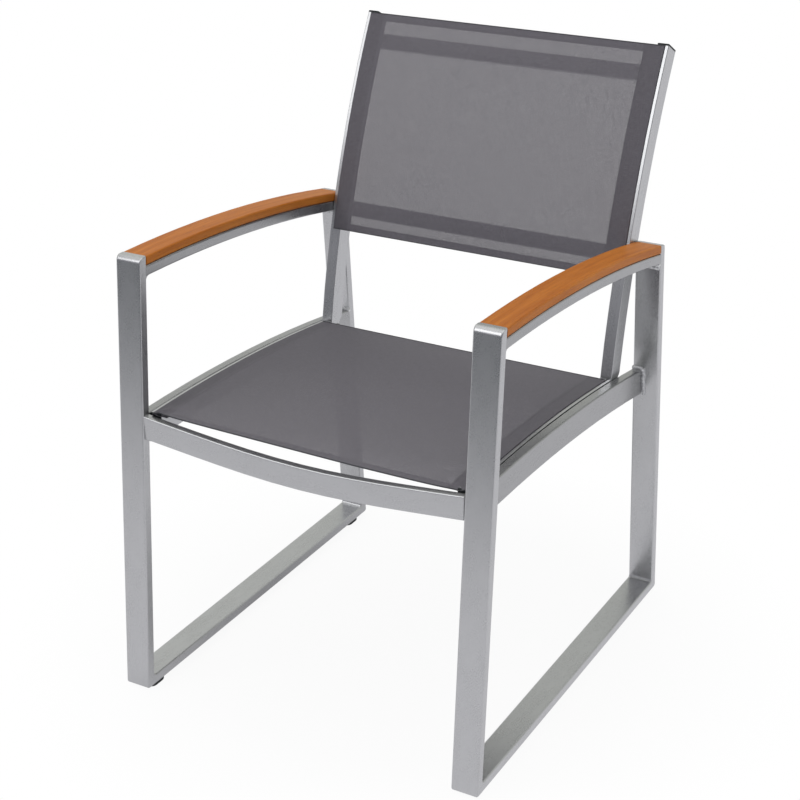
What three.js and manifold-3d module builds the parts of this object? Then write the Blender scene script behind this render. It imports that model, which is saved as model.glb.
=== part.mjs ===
// A patio armchair: two welded side frames of flat aluminium tube with arched hardwood arm pads,
// joined by bowed crossbars, with a mesh seat and a mesh back whose corded edges slide into
// slotted side rails.
// Millimetres, +Z up. The chair faces -Y and stands on z = 0. Right and left in the names are those
// of someone who stands in front of the chair and looks at it, so right is +X.

import * as THREE from "three";
import { mergeVertices } from "three/addons/utils/BufferGeometryUtils.js";
import Module from "manifold-3d";

const wasm = await Module();
wasm.setup();

// Overall sizes
const chairWidth = 580;
const footLength = 635;
const legLean = THREE.MathUtils.degToRad(4.4);
const gap = 0.3;

// Flat tube that the side frames are made of
const tubeWide = 40;
const tubeDeep = 15;
const tubeWall = 1.6;
const tubeCorner = 2;

// Arms: heights of the pad's top at the front and rear leg, and how far the arm arches
const padTopFront = 658;
const padTopRear = 604.5;
const armRise = 12;
const padThick = 13;
const padCorner = 2.5;
const legTopRound = 8;
const rearTopRound = 4;
const legTopPlate = 3;

// Seat: heights of the side stretcher's top at the front and rear leg, and how far it arches
const seatTopFront = 433.5;
const seatTopRear = 397.5;
const seatRise = 12;
const postSetback = 85.74;

// Crossbars
const barTall = 34;
const barDeep = 12;
const barBow = 17;
const barBelowSeat = 2;
const rearBarSetback = 14;
const rearBarDrop = 4;

// Slotted rail that holds a mesh edge, used for the seat rails and the back posts
const railWide = 18;
const railDeep = 32;
const railCorner = 1.6;
const railWall = 1.8;
const slotFromEdge = 5;
const slotWide = 2.6;
const slotLip = 1.9;
const channelWide = 7.2;
const cordWide = 6;

// Back
const backHeight = 872.5;
const backLeanLow = THREE.MathUtils.degToRad(9.9);
const backLeanTop = THREE.MathUtils.degToRad(28.5);
const postBelowSeat = 38;
const meshBelowPostTop = 1;
const backMeshTall = 315;
const backMeshTop = backHeight - meshBelowPostTop;
const backMeshBottom = backMeshTop - backMeshTall;
const meshThick = 1.2;
const seatMeshSetback = 8;

// Spreader bars behind the back mesh. Their middles lie below its top and above its bottom.
const spreaderTall = 24;
const spreaderDeep = 10;
const spreaderWall = 1.5;
const spreaderCorner = 2.5;
const spreaderBehindMesh = 1.5;
const upperSpreaderDrop = 36.5;
const lowerSpreaderRise = 33.5;
const upperSpreaderHeight = backMeshTop - upperSpreaderDrop;
const lowerSpreaderHeight = backMeshBottom + lowerSpreaderRise;

// Plastic fittings
const capThick = 3;
const capRound = 1;
const plugThick = 2.5;
const stubLong = 10;
const stubSlack = 0.3;
const footClear = 5;
const glideWide = 30;
const glideLong = 34;
const glideCorner = 10;
const glideRound = 1.2;
const glideFromInside = 1;
const frontGlideSetback = 28;
const rearGlideSetback = 42;
const glideStemWide = 8;
const glideStemTall = 9;

// Screws and bolts
const screwWide = 4;
const screwHeadWide = 8;
const screwHeadTall = 2.2;
const screwBite = 9;
const screwTip = 1.5;
const boltWide = 6;
const boltHeadWide = 11;
const boltHeadTall = 3;
const boltReach = 6;
const boltSpacing = 18;
const drillSlack = 0.35;

// Shares of a piece's length, and counts
const padScrewShares = [0.1, 0.5, 0.9];
const railBoltShares = [0.2, 0.8];
const cornerSteps = 2;
const roundSteps = 4;
const armSteps = 12;
const seatSteps = 10;
const postSteps = 12;
const barSteps = 12;
const cordSides = 6;
const lathSides = 10;

// Materials
const aluminium = new THREE.MeshStandardMaterial({ color: 0xa8aaab, roughness: 0.42, metalness: 0.9 });
const hardwood = new THREE.MeshStandardMaterial({ color: 0xb9753d, roughness: 0.6, metalness: 0 });
const blackPlastic = new THREE.MeshStandardMaterial({ color: 0x2c2f31, roughness: 0.55, metalness: 0 });
const greyMesh = new THREE.MeshStandardMaterial({ color: 0x6e6b71, roughness: 0.8, metalness: 0 });
const whiteCord = new THREE.MeshStandardMaterial({ color: 0xd8d6d0, roughness: 0.7, metalness: 0 });
const steel = new THREE.MeshStandardMaterial({ color: 0xb9bbbd, roughness: 0.35, metalness: 1 });

const X = new THREE.Vector3(1, 0, 0);
const Y = new THREE.Vector3(0, 1, 0);
const Z = new THREE.Vector3(0, 0, 1);
const at = (x, y, z) => new THREE.Vector3(x, y, z);
const point = (x, y) => new THREE.Vector2(x, y);

// Sections. Every outline runs counter-clockwise and is centred unless it says otherwise.
function roundedBox(width, depth, radius) {
  const round = Math.min(radius, width / 2, depth / 2);
  const outline = [];
  const corners = [point(-1, -1), point(1, -1), point(1, 1), point(-1, 1)];
  corners.forEach((corner, quarter) => {
    const middle = point(corner.x * (width / 2 - round), corner.y * (depth / 2 - round));
    for (let step = 0; step <= cornerSteps; step++) {
      const angle = Math.PI + (quarter + step / cornerSteps) * (Math.PI / 2);
      outline.push(point(middle.x + round * Math.cos(angle), middle.y + round * Math.sin(angle)));
    }
  });
  return outline;
}

function circle(radius, sides) {
  return Array.from({ length: sides }, (_, side) => {
    const angle = (side / sides) * 2 * Math.PI;
    return point(radius * Math.cos(angle), radius * Math.sin(angle));
  });
}

function sharpBox(width, depth) {
  return [point(-1, -1), point(1, -1), point(1, 1), point(-1, 1)].map((corner) => (
    point(corner.x * (width / 2), corner.y * (depth / 2))
  ));
}

const shifted = (outline, x, y) => outline.map((p) => point(p.x + x, p.y + y));

const tubeSkin = roundedBox(tubeWide, tubeDeep, tubeCorner);
const tubeBore = sharpBox(tubeWide - 2 * tubeWall, tubeDeep - 2 * tubeWall);

// The slotted rail's section: x runs to the chair's outside, y from the slotted face inwards.
const slotX = railWide / 2 - slotFromEdge - slotWide / 2;
const channelY = slotLip + Math.sqrt(channelWide ** 2 - slotWide ** 2) / 2;
const railBoreTop = channelY + channelWide / 2 + railWall;
const railSkin = (() => {
  const outline = shifted(roundedBox(railWide, railDeep, railCorner), 0, railDeep / 2);
  const face = cornerSteps + 1;
  const opening = Math.asin(slotWide / channelWide);
  const channel = [];
  for (let step = 0; step <= 2 * roundSteps; step++) {
    const angle = -Math.PI / 2 - opening - (step / (2 * roundSteps)) * (2 * Math.PI - 2 * opening);
    const [aside, inwards] = [(channelWide / 2) * Math.cos(angle), (channelWide / 2) * Math.sin(angle)];
    channel.push(point(slotX + aside, channelY + inwards));
  }
  const lips = [point(slotX - slotWide / 2, 0), ...channel, point(slotX + slotWide / 2, 0)];
  return [...outline.slice(0, face), ...lips, ...outline.slice(face)];
})();
const boreMiddle = (railBoreTop + railDeep - railWall) / 2;
const boreDeep = railDeep - railBoreTop - railWall;
const railBore = shifted(sharpBox(railWide - 2 * railWall, boreDeep), 0, boreMiddle);

// Solids. A ring is an outline placed in space; rings in a row are joined into a closed solid.
function ring(outline, place, plane) {
  return outline.map((p) => {
    const spot = place.origin.clone().addScaledVector(place.across, p.x).addScaledVector(place.through, p.y);
    if (plane) {
      spot.addScaledVector(place.along, -plane.distanceToPoint(spot) / plane.normal.dot(place.along));
    }
    return spot;
  });
}

function geometryOf(vertices, faces) {
  const geometry = new THREE.BufferGeometry();
  const numbers = vertices.flatMap((v) => [v.x, v.y, v.z]);
  geometry.setAttribute("position", new THREE.Float32BufferAttribute(numbers, 3));
  geometry.setIndex(faces.flat());
  geometry.computeVertexNormals();
  return geometry;
}

// The bore runs right through, or stops inside the piece where blind is true.
function ringSolid(outline, skin, hole = [], bore = [], blind = false) {
  const vertices = [...skin.flat(), ...bore.flat()];
  const faces = [];
  const boreStart = skin.length * outline.length;
  const walls = (count, rows, start, turned) => {
    for (let row = 0; row < rows - 1; row++) {
      for (let i = 0; i < count; i++) {
        const next = (i + 1) % count;
        const [a, b] = [start + row * count + i, start + row * count + next];
        const [c, d] = [b + count, a + count];
        faces.push(...(turned ? [[c, b, a], [d, c, a]] : [[a, b, c], [a, c, d]]));
      }
    }
  };
  const closed = (contour, cutout, numbers, turned) => {
    const triangles = THREE.ShapeUtils.triangulateShape(contour, cutout.length ? [cutout] : []);
    for (const [a, b, c] of triangles) {
      faces.push(turned ? [numbers[c], numbers[b], numbers[a]] : [numbers[a], numbers[b], numbers[c]]);
    }
  };
  const row = (count, index, start) => Array.from({ length: count }, (_, i) => start + index * count + i);
  walls(outline.length, skin.length, 0, false);
  walls(hole.length, bore.length, boreStart, true);

  const backwards = [...hole].reverse();
  const boreRow = (index) => row(hole.length, index, boreStart).reverse();
  closed(outline, backwards, [...row(outline.length, 0, 0), ...boreRow(0)], true);
  const lastRow = row(outline.length, skin.length - 1, 0);
  if (blind) {
    closed(outline, [], lastRow, false);
    closed(hole, [], row(hole.length, bore.length - 1, boreStart), true);
  } else {
    closed(outline, backwards, [...lastRow, ...boreRow(bore.length - 1)], false);
  }
  return geometryOf(vertices, faces);
}

// A section carried along a row of places, its ends cut by planes where they are given.
function sweep(outline, places, { hole = [], from, to } = {}) {
  const cut = (index) => (index === 0 ? from : index === places.length - 1 ? to : undefined);
  const skin = places.map((place, index) => ring(outline, place, cut(index)));
  const bore = hole.length ? places.map((place, index) => ring(hole, place, cut(index))) : [];
  return ringSolid(outline, skin, hole, bore);
}

const toManifold = (geometry) => {
  const bare = geometry.clone();
  bare.deleteAttribute("normal");
  bare.deleteAttribute("uv");
  const merged = mergeVertices(bare);
  const mesh = new wasm.Mesh({
    numProp: 3,
    vertProperties: new Float32Array(merged.attributes.position.array),
    triVerts: new Uint32Array(merged.index.array),
  });
  return new wasm.Manifold(mesh);
};

// Cuts round holes. Each has a middle, a direction, a width and a length.
function drilled(geometry, holes) {
  let solid = toManifold(geometry);
  for (const { middle, direction, width, long } of holes) {
    const drill = new THREE.CylinderGeometry(width / 2, width / 2, long, lathSides);
    drill.applyQuaternion(new THREE.Quaternion().setFromUnitVectors(Y, direction));
    drill.translate(middle.x, middle.y, middle.z);
    solid = solid.subtract(toManifold(drill));
  }
  const mesh = solid.getMesh();
  const cut = new THREE.BufferGeometry();
  cut.setAttribute("position", new THREE.BufferAttribute(new Float32Array(mesh.vertProperties), 3));
  cut.setIndex(new THREE.BufferAttribute(new Uint32Array(mesh.triVerts), 1));
  cut.computeVertexNormals();
  return cut;
}

// A turned piece whose profile starts and ends on its axis, pointing along a direction.
function turned(profile, origin, direction) {
  const geometry = new THREE.LatheGeometry(profile, lathSides);
  geometry.applyQuaternion(new THREE.Quaternion().setFromUnitVectors(Y, direction));
  geometry.translate(origin.x, origin.y, origin.z);
  return geometry;
}

// Arcs in a side view, and bowed bars across the chair
const planeAt = (normal, spot) =>
  new THREE.Plane().setFromNormalAndCoplanarPoint(normal.clone().normalize(), spot);
const movedPlane = (plane, distance) => new THREE.Plane(plane.normal.clone(), plane.constant - distance);

// An arc through two spots that rises above the straight line between them. Its places run from
// the first spot to the second, and "through" points at the arc's centre.
function archOver(first, second, rise) {
  const chord = second.clone().sub(first);
  const half = chord.length() / 2;
  const radius = (half ** 2 + rise ** 2) / (2 * rise);
  const along = chord.clone().normalize();
  const side = Math.abs(along.x) > Math.abs(along.y) ? frontUp.clone() : at(0, -along.z, along.y);
  const centre = first.clone().add(second).multiplyScalar(1 / 2).addScaledVector(side, rise - radius);
  const reach = Math.asin(half / radius);
  const place = (share, inwards, x = 0) => {
    const angle = (2 * share - 1) * reach;
    const outwards = side.clone().multiplyScalar(Math.cos(angle)).addScaledVector(along, Math.sin(angle));
    return {
      origin: centre.clone().addScaledVector(outwards, radius - inwards).addScaledVector(X, x),
      across: X,
      through: outwards.clone().negate(),
      along: along.clone().multiplyScalar(Math.cos(angle)).addScaledVector(side, -Math.sin(angle)),
    };
  };
  const places = (steps, inwards, x = 0, start = 0, end = 1) =>
    Array.from({ length: steps + 1 }, (_, i) => place(start + ((end - start) * i) / steps, inwards, x));
  return { place, places };
}

// Side frame: where the legs stand
const frontUp = at(0, Math.sin(legLean), Math.cos(legLean));
const frontBack = at(0, Math.cos(legLean), -Math.sin(legLean));
const rearUp = at(0, -Math.sin(legLean), Math.cos(legLean));
const rearBack = at(0, Math.cos(legLean), Math.sin(legLean));
const legSlope = Math.tan(legLean);
const tubeRun = tubeDeep / Math.cos(legLean);
const frontFaceAt = (z) => (z - footClear) * legSlope;
const frontLegBackAt = (z) => frontFaceAt(z) + tubeRun;
const rearLegFrontAt = (z) => footLength - (z - footClear) * legSlope - tubeRun;
const legX = chairWidth / 2 - tubeWide / 2;
const innerX = chairWidth / 2 - tubeWide;
const stretcherX = innerX + tubeDeep / 2;
const railX = innerX - gap - railWide / 2;
const railInnerX = railX - railWide / 2;

const frontLegBack = planeAt(frontBack, at(0, frontLegBackAt(footClear), footClear));
const rearLegFront = planeAt(rearBack, at(0, rearLegFrontAt(footClear), footClear));

const meshes = [];
function add(name, geometry, material) {
  const mesh = new THREE.Mesh(geometry, material);
  mesh.name = name;
  meshes.push(mesh);
}
function mirrored(geometry) {
  const copy = geometry.index ? geometry.clone() : mergeVertices(geometry);
  copy.applyMatrix4(new THREE.Matrix4().makeScale(-1, 1, 1));
  const order = Array.from(copy.index.array);
  for (let i = 0; i < order.length; i += 3) {
    [order[i], order[i + 2]] = [order[i + 2], order[i]];
  }
  copy.setIndex(order);
  copy.computeVertexNormals();
  return copy;
}
function addPair(name, geometry, material) {
  add(`right_${name}`, geometry, material);
  add(`left_${name}`, mirrored(geometry), material);
}

// Arm: the pad's top, and everything under it, follow one arc
const padArc = archOver(
  at(0, frontLegBackAt(padTopFront), padTopFront),
  at(0, rearLegFrontAt(padTopRear), padTopRear),
  armRise,
);
const padFront = padArc.place(0, 0);
const padRear = padArc.place(1, 0);
const railUnderPad = padThick + gap + tubeDeep / 2;
const railUnderside = railUnderPad + tubeDeep / 2;
const screwHeads = padScrewShares.map((share) => padArc.place(share, railUnderside + gap, legX));
const screwLong = tubeDeep + 2 * gap + screwBite;
const screwHoles = screwHeads.map((place) => ({
  middle: place.origin.clone().addScaledVector(place.through, -screwLong / 2),
  direction: place.through,
  width: screwWide + 2 * drillSlack,
  long: screwLong + 2 * drillSlack,
}));

const armRail = sweep(tubeSkin, padArc.places(armSteps, railUnderPad, legX), {
  hole: tubeBore,
  from: movedPlane(frontLegBack, gap),
  to: movedPlane(rearLegFront, -gap),
});
addPair("arm_rail", drilled(armRail, screwHoles), aluminium);

const padSection = roundedBox(tubeWide, padThick, padCorner);
const armPad = sweep(padSection, padArc.places(armSteps, padThick / 2, legX), {
  from: movedPlane(frontLegBack, gap),
  to: movedPlane(rearLegFront, -gap),
});
addPair("arm_pad", drilled(armPad, screwHoles), hardwood);

const screwProfile = [
  point(0, -screwHeadTall),
  point(screwHeadWide / 3, -screwHeadTall),
  point(screwHeadWide / 2, -screwHeadTall / 3),
  point(screwHeadWide / 2, 0),
  point(screwWide / 2, 0),
  point(screwWide / 2, screwLong - screwTip),
  point(0, screwLong),
];
screwHeads.forEach((place, i) => {
  addPair(`pad_screw_${i + 1}`, turned(screwProfile, place.origin, place.through.clone().negate()), steel);
});

// Legs and floor runner, mitred at the bottom corners
function leg(up, back, face, mitre, topPlace, round, roundsForward) {
  const place = { origin: at(legX, face + tubeRun / 2, footClear), across: X, through: back, along: up };
  const top = planeAt(topPlace.through, topPlace.origin);
  const skin = [ring(tubeSkin, place, mitre)];
  for (let step = 0; step <= roundSteps; step++) {
    const angle = (step / roundSteps) * (Math.PI / 2);
    const share = 1 - (round * (1 - Math.cos(angle))) / tubeDeep;
    const side = roundsForward ? tubeDeep / 2 : -tubeDeep / 2;
    const section = tubeSkin.map((p) => point(p.x, side + (p.y - side) * share));
    skin.push(ring(section, place, movedPlane(top, round * (1 - Math.sin(angle)))));
  }
  const bore = [ring(tubeBore, place, mitre), ring(tubeBore, place, movedPlane(top, round + legTopPlate))];
  return ringSolid(tubeSkin, skin, tubeBore, bore, true);
}
const cornerUp = tubeDeep * (legSlope + 1 / Math.cos(legLean));
const frontMitre = planeAt(at(0, -tubeDeep, cornerUp), at(0, 0, footClear));
const rearMitre = planeAt(at(0, tubeDeep, cornerUp), at(0, footLength, footClear));
addPair(
  "front_leg",
  leg(frontUp, frontBack, 0, movedPlane(frontMitre, gap / 2), padFront, legTopRound, true),
  aluminium,
);
addPair(
  "rear_leg",
  leg(rearUp, rearBack, footLength - tubeRun, movedPlane(rearMitre, gap / 2), padRear, rearTopRound, false),
  aluminium,
);

const runnerPlace = (y) => ({
  origin: at(legX, y, footClear + tubeDeep / 2),
  across: X,
  through: Z.clone().negate(),
  along: Y,
});
const glideX = innerX + glideFromInside + glideWide / 2;
const glideSpots = { front: frontGlideSetback, rear: footLength - rearGlideSetback };
const glideHoles = Object.values(glideSpots).map((y) => ({
  middle: at(glideX, y, footClear),
  direction: Z,
  width: glideStemWide + 2 * drillSlack,
  long: 4 * tubeWall,
}));
const runner = sweep(tubeSkin, [runnerPlace(0), runnerPlace(footLength)], {
  hole: tubeBore,
  from: movedPlane(frontMitre, -gap / 2),
  to: movedPlane(rearMitre, -gap / 2),
});
addPair("floor_runner", drilled(runner, glideHoles), aluminium);

const glideTop = footClear - gap;
const glideSole = roundedBox(
  glideWide - 2 * glideRound,
  glideLong - 2 * glideRound,
  glideCorner - glideRound,
);
const glideBody = roundedBox(glideWide, glideLong, glideCorner);
const glideStem = roundedBox(glideStemWide, glideStemWide, glideStemWide / 2);
for (const [end, y] of Object.entries(glideSpots)) {
  const level = (z) => ({ origin: at(glideX, y, z), across: X, through: Y, along: Z });
  const glide = ringSolid(glideBody, [
    ring(glideSole, level(0)),
    ring(glideBody, level(glideRound)),
    ring(glideBody, level(glideTop)),
    ring(glideStem, level(glideTop)),
    ring(glideStem, level(glideTop + glideStemTall)),
  ]);
  addPair(`${end}_glide`, glide, blackPlastic);
}

// Seat stretchers: flat tubes on edge between the legs, arched like the seat
const seatArc = archOver(
  at(0, frontLegBackAt(seatTopFront), seatTopFront),
  at(0, rearLegFrontAt(seatTopRear), seatTopRear),
  seatRise,
);
const onEdge = (outline) => outline.map((p) => point(-p.y, p.x));
const stretcher = sweep(onEdge(tubeSkin), seatArc.places(seatSteps, tubeWide / 2, stretcherX), {
  hole: onEdge(tubeBore),
  from: movedPlane(frontLegBack, gap),
  to: movedPlane(rearLegFront, -gap),
});

// Back posts: slotted rails bent to one arc that leans back more towards the top
const postFootY = rearLegFrontAt(seatTopRear) - postSetback;
const seatSpan = rearLegFrontAt(seatTopRear) - frontLegBackAt(seatTopFront);
const seatShareAt = (y) => (y - frontLegBackAt(seatTopFront)) / seatSpan;
const postShare = seatShareAt(postFootY);
const seatLevel = seatArc.place(postShare, 0).origin.z;
const postRadius = (backHeight - seatLevel) / (Math.sin(backLeanTop) - Math.sin(backLeanLow));
const postAngleAt = (z) => Math.asin(Math.sin(backLeanLow) + (z - seatLevel) / postRadius);
function postPlace(angle, x = 0, inwards = 0) {
  const through = at(0, Math.cos(angle), -Math.sin(angle));
  const rise = postRadius * (Math.sin(angle) - Math.sin(backLeanLow));
  const lean = postRadius * (Math.cos(backLeanLow) - Math.cos(angle));
  return {
    origin: at(x, postFootY + lean, seatLevel + rise).addScaledVector(through, inwards),
    across: X,
    through,
    along: at(0, Math.sin(angle), Math.cos(angle)),
  };
}
const postPlaces = (low, high, x = 0, steps = postSteps) => {
  const [first, last] = [postAngleAt(low), postAngleAt(high)];
  return Array.from({ length: steps + 1 }, (_, i) => postPlace(first + ((last - first) * i) / steps, x));
};
const postBottom = seatLevel - postBelowSeat;
const post = sweep(railSkin, postPlaces(postBottom, backHeight, railX), { hole: railBore });

// Bolts run from the inside of the rails and posts into the stretchers
const boltLong = railWide + 2 * gap + tubeWall + boltReach;
const boltX = railInnerX - gap;
const boltHole = (spot) => ({
  middle: at(boltX + boltLong / 2, spot.y, spot.z),
  direction: X,
  width: boltWide + 2 * drillSlack,
  long: boltLong + 2 * drillSlack,
});
const railFrontY = frontLegBackAt(seatTopFront) + 2 * gap + plugThick;
const railFrontShare = seatShareAt(railFrontY);
const postFace = planeAt(postPlace(backLeanLow).through, postPlace(backLeanLow).origin);
const postBoltSpots = [-1, 1].map((side) => {
  const height = postBottom + postBelowSeat / 2 + (side * boltSpacing) / 2;
  return postPlace(postAngleAt(height), 0, boreMiddle).origin;
});
const railBoltSpots = railBoltShares.map((share) => {
  const along = railFrontShare + (postShare - railFrontShare) * share;
  return seatArc.place(along, boreMiddle).origin;
});
addPair("back_post", drilled(post, postBoltSpots.map(boltHole)), aluminium);
addPair("seat_stretcher", drilled(stretcher, [...postBoltSpots, ...railBoltSpots].map(boltHole)), aluminium);

const boltProfile = [
  point(0, -boltHeadTall),
  point(boltHeadWide / 3, -boltHeadTall),
  point(boltHeadWide / 2, -boltHeadTall / 3),
  point(boltHeadWide / 2, 0),
  point(boltWide / 2, 0),
  point(boltWide / 2, boltLong),
  point(0, boltLong),
];
const bolt = (spot) => turned(boltProfile, at(boltX, spot.y, spot.z), X);
postBoltSpots.forEach((spot, i) => addPair(`post_bolt_${i + 1}`, bolt(spot), steel));
railBoltSpots.forEach((spot, i) => addPair(`rail_bolt_${i + 1}`, bolt(spot), steel));

// Seat sling rails, from a plug behind the front crossbar to the posts
const railPlaces = seatArc.places(seatSteps, 0, railX, railFrontShare, postShare);
const railFront = planeAt(frontBack, at(0, railFrontY, seatTopFront));
const slingRail = sweep(railSkin, railPlaces, {
  hole: railBore,
  from: railFront,
  to: movedPlane(postFace, -gap),
});
addPair("seat_sling_rail", drilled(slingRail, railBoltSpots.map(boltHole)), aluminium);

const fittingSection = shifted(roundedBox(railWide, railDeep, railCorner), 0, railDeep / 2);
const stubSection = shifted(
  roundedBox(
    railWide - 2 * railWall - 2 * stubSlack,
    boreDeep - 2 * stubSlack,
    railCorner / 2,
  ),
  0,
  boreMiddle,
);
const movedPlace = (place, distance) => ({
  ...place,
  origin: place.origin.clone().addScaledVector(place.along, distance),
});
const plugPlace = { ...railPlaces[0] };
const plug = ringSolid(fittingSection, [
  ring(fittingSection, plugPlace, movedPlane(railFront, -gap - plugThick)),
  ring(fittingSection, plugPlace, movedPlane(railFront, -gap)),
  ring(stubSection, plugPlace, movedPlane(railFront, -gap)),
  ring(stubSection, plugPlace, movedPlane(railFront, stubLong)),
]);
addPair("rail_plug", plug, blackPlastic);

// Caps on the posts
const postTop = postPlace(backLeanTop, railX);
const inset = (outline, middle, amount, size) =>
  outline.map((p) => point(
    middle.x + (p.x - middle.x) * (1 - (2 * amount) / size.x),
    middle.y + (p.y - middle.y) * (1 - (2 * amount) / size.y),
  ));
const capMiddle = point(0, railDeep / 2);
const capTopSection = inset(fittingSection, capMiddle, capRound, point(railWide, railDeep));
const cap = ringSolid(stubSection, [
  ring(stubSection, movedPlace(postTop, -stubLong)),
  ring(stubSection, movedPlace(postTop, gap)),
  ring(fittingSection, movedPlace(postTop, gap)),
  ring(fittingSection, movedPlace(postTop, gap + capThick - capRound)),
  ring(capTopSection, movedPlace(postTop, gap + capThick)),
]);
addPair("post_cap", cap, blackPlastic);

// Mesh sheets: flat between the slots, with both edges turned into them, and the edge cords
const meshEdge = railX + slotX + meshThick / 2;
const cordTop = channelY - cordWide / 2;
const meshSection = [
  point(-meshEdge, -gap - meshThick),
  point(meshEdge, -gap - meshThick),
  point(meshEdge, cordTop - gap),
  point(meshEdge - meshThick, cordTop - gap),
  point(meshEdge - meshThick, -gap),
  point(meshThick - meshEdge, -gap),
  point(meshThick - meshEdge, cordTop - gap),
  point(-meshEdge, cordTop - gap),
];
const cordSection = shifted(circle(cordWide / 2, cordSides), slotX, channelY);
add("back_sling", sweep(meshSection, postPlaces(backMeshBottom, backMeshTop)), greyMesh);
addPair("back_edge_cord", sweep(cordSection, postPlaces(backMeshBottom, backMeshTop, railX)), whiteCord);
const meshEndShare = seatShareAt(postFootY - seatMeshSetback);
const seatMeshPlaces = (x) => seatArc.places(seatSteps, 0, x, railFrontShare, meshEndShare);
add("seat_sling", sweep(meshSection, seatMeshPlaces(0)), greyMesh);
addPair("seat_edge_cord", sweep(cordSection, seatMeshPlaces(railX)), whiteCord);

// Crossbars: flat tubes bowed downwards so that a sitter does not touch them
const barSkin = roundedBox(barDeep, barTall, tubeCorner);
const barBore = sharpBox(barDeep - 2 * tubeWall, barTall - 2 * tubeWall);
function bowedBar(halfLong, y, z, up, back) {
  const radius = (halfLong ** 2 + barBow ** 2) / (2 * barBow);
  const reach = Math.asin(halfLong / radius);
  const places = Array.from({ length: barSteps + 1 }, (_, i) => {
    const angle = (2 * (i / barSteps) - 1) * reach;
    const rise = radius * (1 - Math.cos(angle)) - barBow;
    return {
      origin: at(radius * Math.sin(angle), y, z).addScaledVector(up, rise),
      across: back,
      through: up.clone().multiplyScalar(Math.cos(angle)).addScaledVector(X, -Math.sin(angle)),
      along: up.clone().multiplyScalar(Math.sin(angle)).addScaledVector(X, Math.cos(angle)),
    };
  });
  return sweep(barSkin, places, {
    hole: barBore,
    from: planeAt(X, at(-halfLong, 0, 0)),
    to: planeAt(X, at(halfLong, 0, 0)),
  });
}
const frontBarZ = seatTopFront - barBelowSeat - barTall / 2;
const frontBarY = frontFaceAt(frontBarZ) + tubeRun / 2;
add("front_crossbar", bowedBar(innerX - gap, frontBarY, frontBarZ, frontUp, frontBack), aluminium);

const rearBarY = postFootY - rearBarSetback - barDeep / 2;
const rearBarZ = seatArc.place(seatShareAt(rearBarY), 0).origin.z - rearBarDrop - barTall / 2;
add("rear_crossbar", bowedBar(railInnerX - gap, rearBarY, rearBarZ, Z, Y), aluminium);

// Spreader bars hold the posts apart behind the mesh
const spreaderSkin = roundedBox(spreaderDeep, spreaderTall, spreaderCorner);
const spreaderBore = sharpBox(spreaderDeep - 2 * spreaderWall, spreaderTall - 2 * spreaderWall);
for (const [name, height] of [["upper", upperSpreaderHeight], ["lower", lowerSpreaderHeight]]) {
  const middle = postPlace(postAngleAt(height), 0, spreaderBehindMesh + spreaderDeep / 2);
  const places = [-1, 1].map((side) => ({
    origin: middle.origin.clone().addScaledVector(X, side * (railInnerX - gap)),
    across: middle.through,
    through: middle.along,
    along: X,
  }));
  add(`${name}_back_spreader`, sweep(spreaderSkin, places, { hole: spreaderBore }), aluminium);
}

// The origin lies on the floor under the middle of the chair's outline.
const capReach = postPlace(backLeanTop, 0, railDeep).origin;
capReach.addScaledVector(postTop.along, gap + capThick - capRound);
const chair = new THREE.Group();
chair.add(...meshes);
chair.position.set(0, -capReach.y / 2, 0);

export default chair;
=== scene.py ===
# A sling patio armchair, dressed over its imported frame. Metres, +Z up, the chair faces -Y.
# Right is +X, the right of someone who stands in front of the chair and looks at it.
import math

import bmesh
import bpy
import numpy as np
from mathutils import Matrix, Vector
from mathutils.geometry import tessellate_polygon


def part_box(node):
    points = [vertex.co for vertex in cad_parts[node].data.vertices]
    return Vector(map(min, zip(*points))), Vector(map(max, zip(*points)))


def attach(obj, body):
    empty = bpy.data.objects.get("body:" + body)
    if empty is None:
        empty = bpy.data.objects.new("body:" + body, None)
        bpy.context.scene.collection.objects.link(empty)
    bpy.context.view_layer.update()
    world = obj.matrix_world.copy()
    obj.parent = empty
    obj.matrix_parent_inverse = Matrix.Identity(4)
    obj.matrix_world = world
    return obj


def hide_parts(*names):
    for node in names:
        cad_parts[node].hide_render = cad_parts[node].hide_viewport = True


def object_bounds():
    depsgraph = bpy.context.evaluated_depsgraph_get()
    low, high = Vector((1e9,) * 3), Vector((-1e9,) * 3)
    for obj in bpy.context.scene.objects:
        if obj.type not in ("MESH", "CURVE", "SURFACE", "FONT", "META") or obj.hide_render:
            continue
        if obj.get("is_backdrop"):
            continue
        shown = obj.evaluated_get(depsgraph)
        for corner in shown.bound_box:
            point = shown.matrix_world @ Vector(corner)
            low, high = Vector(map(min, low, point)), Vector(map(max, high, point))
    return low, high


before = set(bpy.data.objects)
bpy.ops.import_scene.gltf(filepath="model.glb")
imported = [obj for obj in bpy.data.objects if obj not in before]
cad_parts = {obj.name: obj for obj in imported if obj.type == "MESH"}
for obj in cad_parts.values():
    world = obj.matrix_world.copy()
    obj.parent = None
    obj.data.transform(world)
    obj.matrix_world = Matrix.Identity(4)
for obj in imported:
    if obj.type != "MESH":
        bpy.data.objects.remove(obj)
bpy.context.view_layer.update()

# Camera: a long lens at a standing person's height, to the right of the chair's front.
CAMERA_PLACE = Vector((1.1423, -2.0632, 1.4598))
CAMERA_TARGET = Vector((-0.0045, -0.0259, 0.39615))
CAMERA_ROLL = math.radians(-0.41)
CAMERA_LENS_MM = 79.24
SENSOR_MM = 36

X = Vector((1, 0, 0))
Y = Vector((0, 1, 0))
Z = Vector((0, 0, 1))

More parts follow.
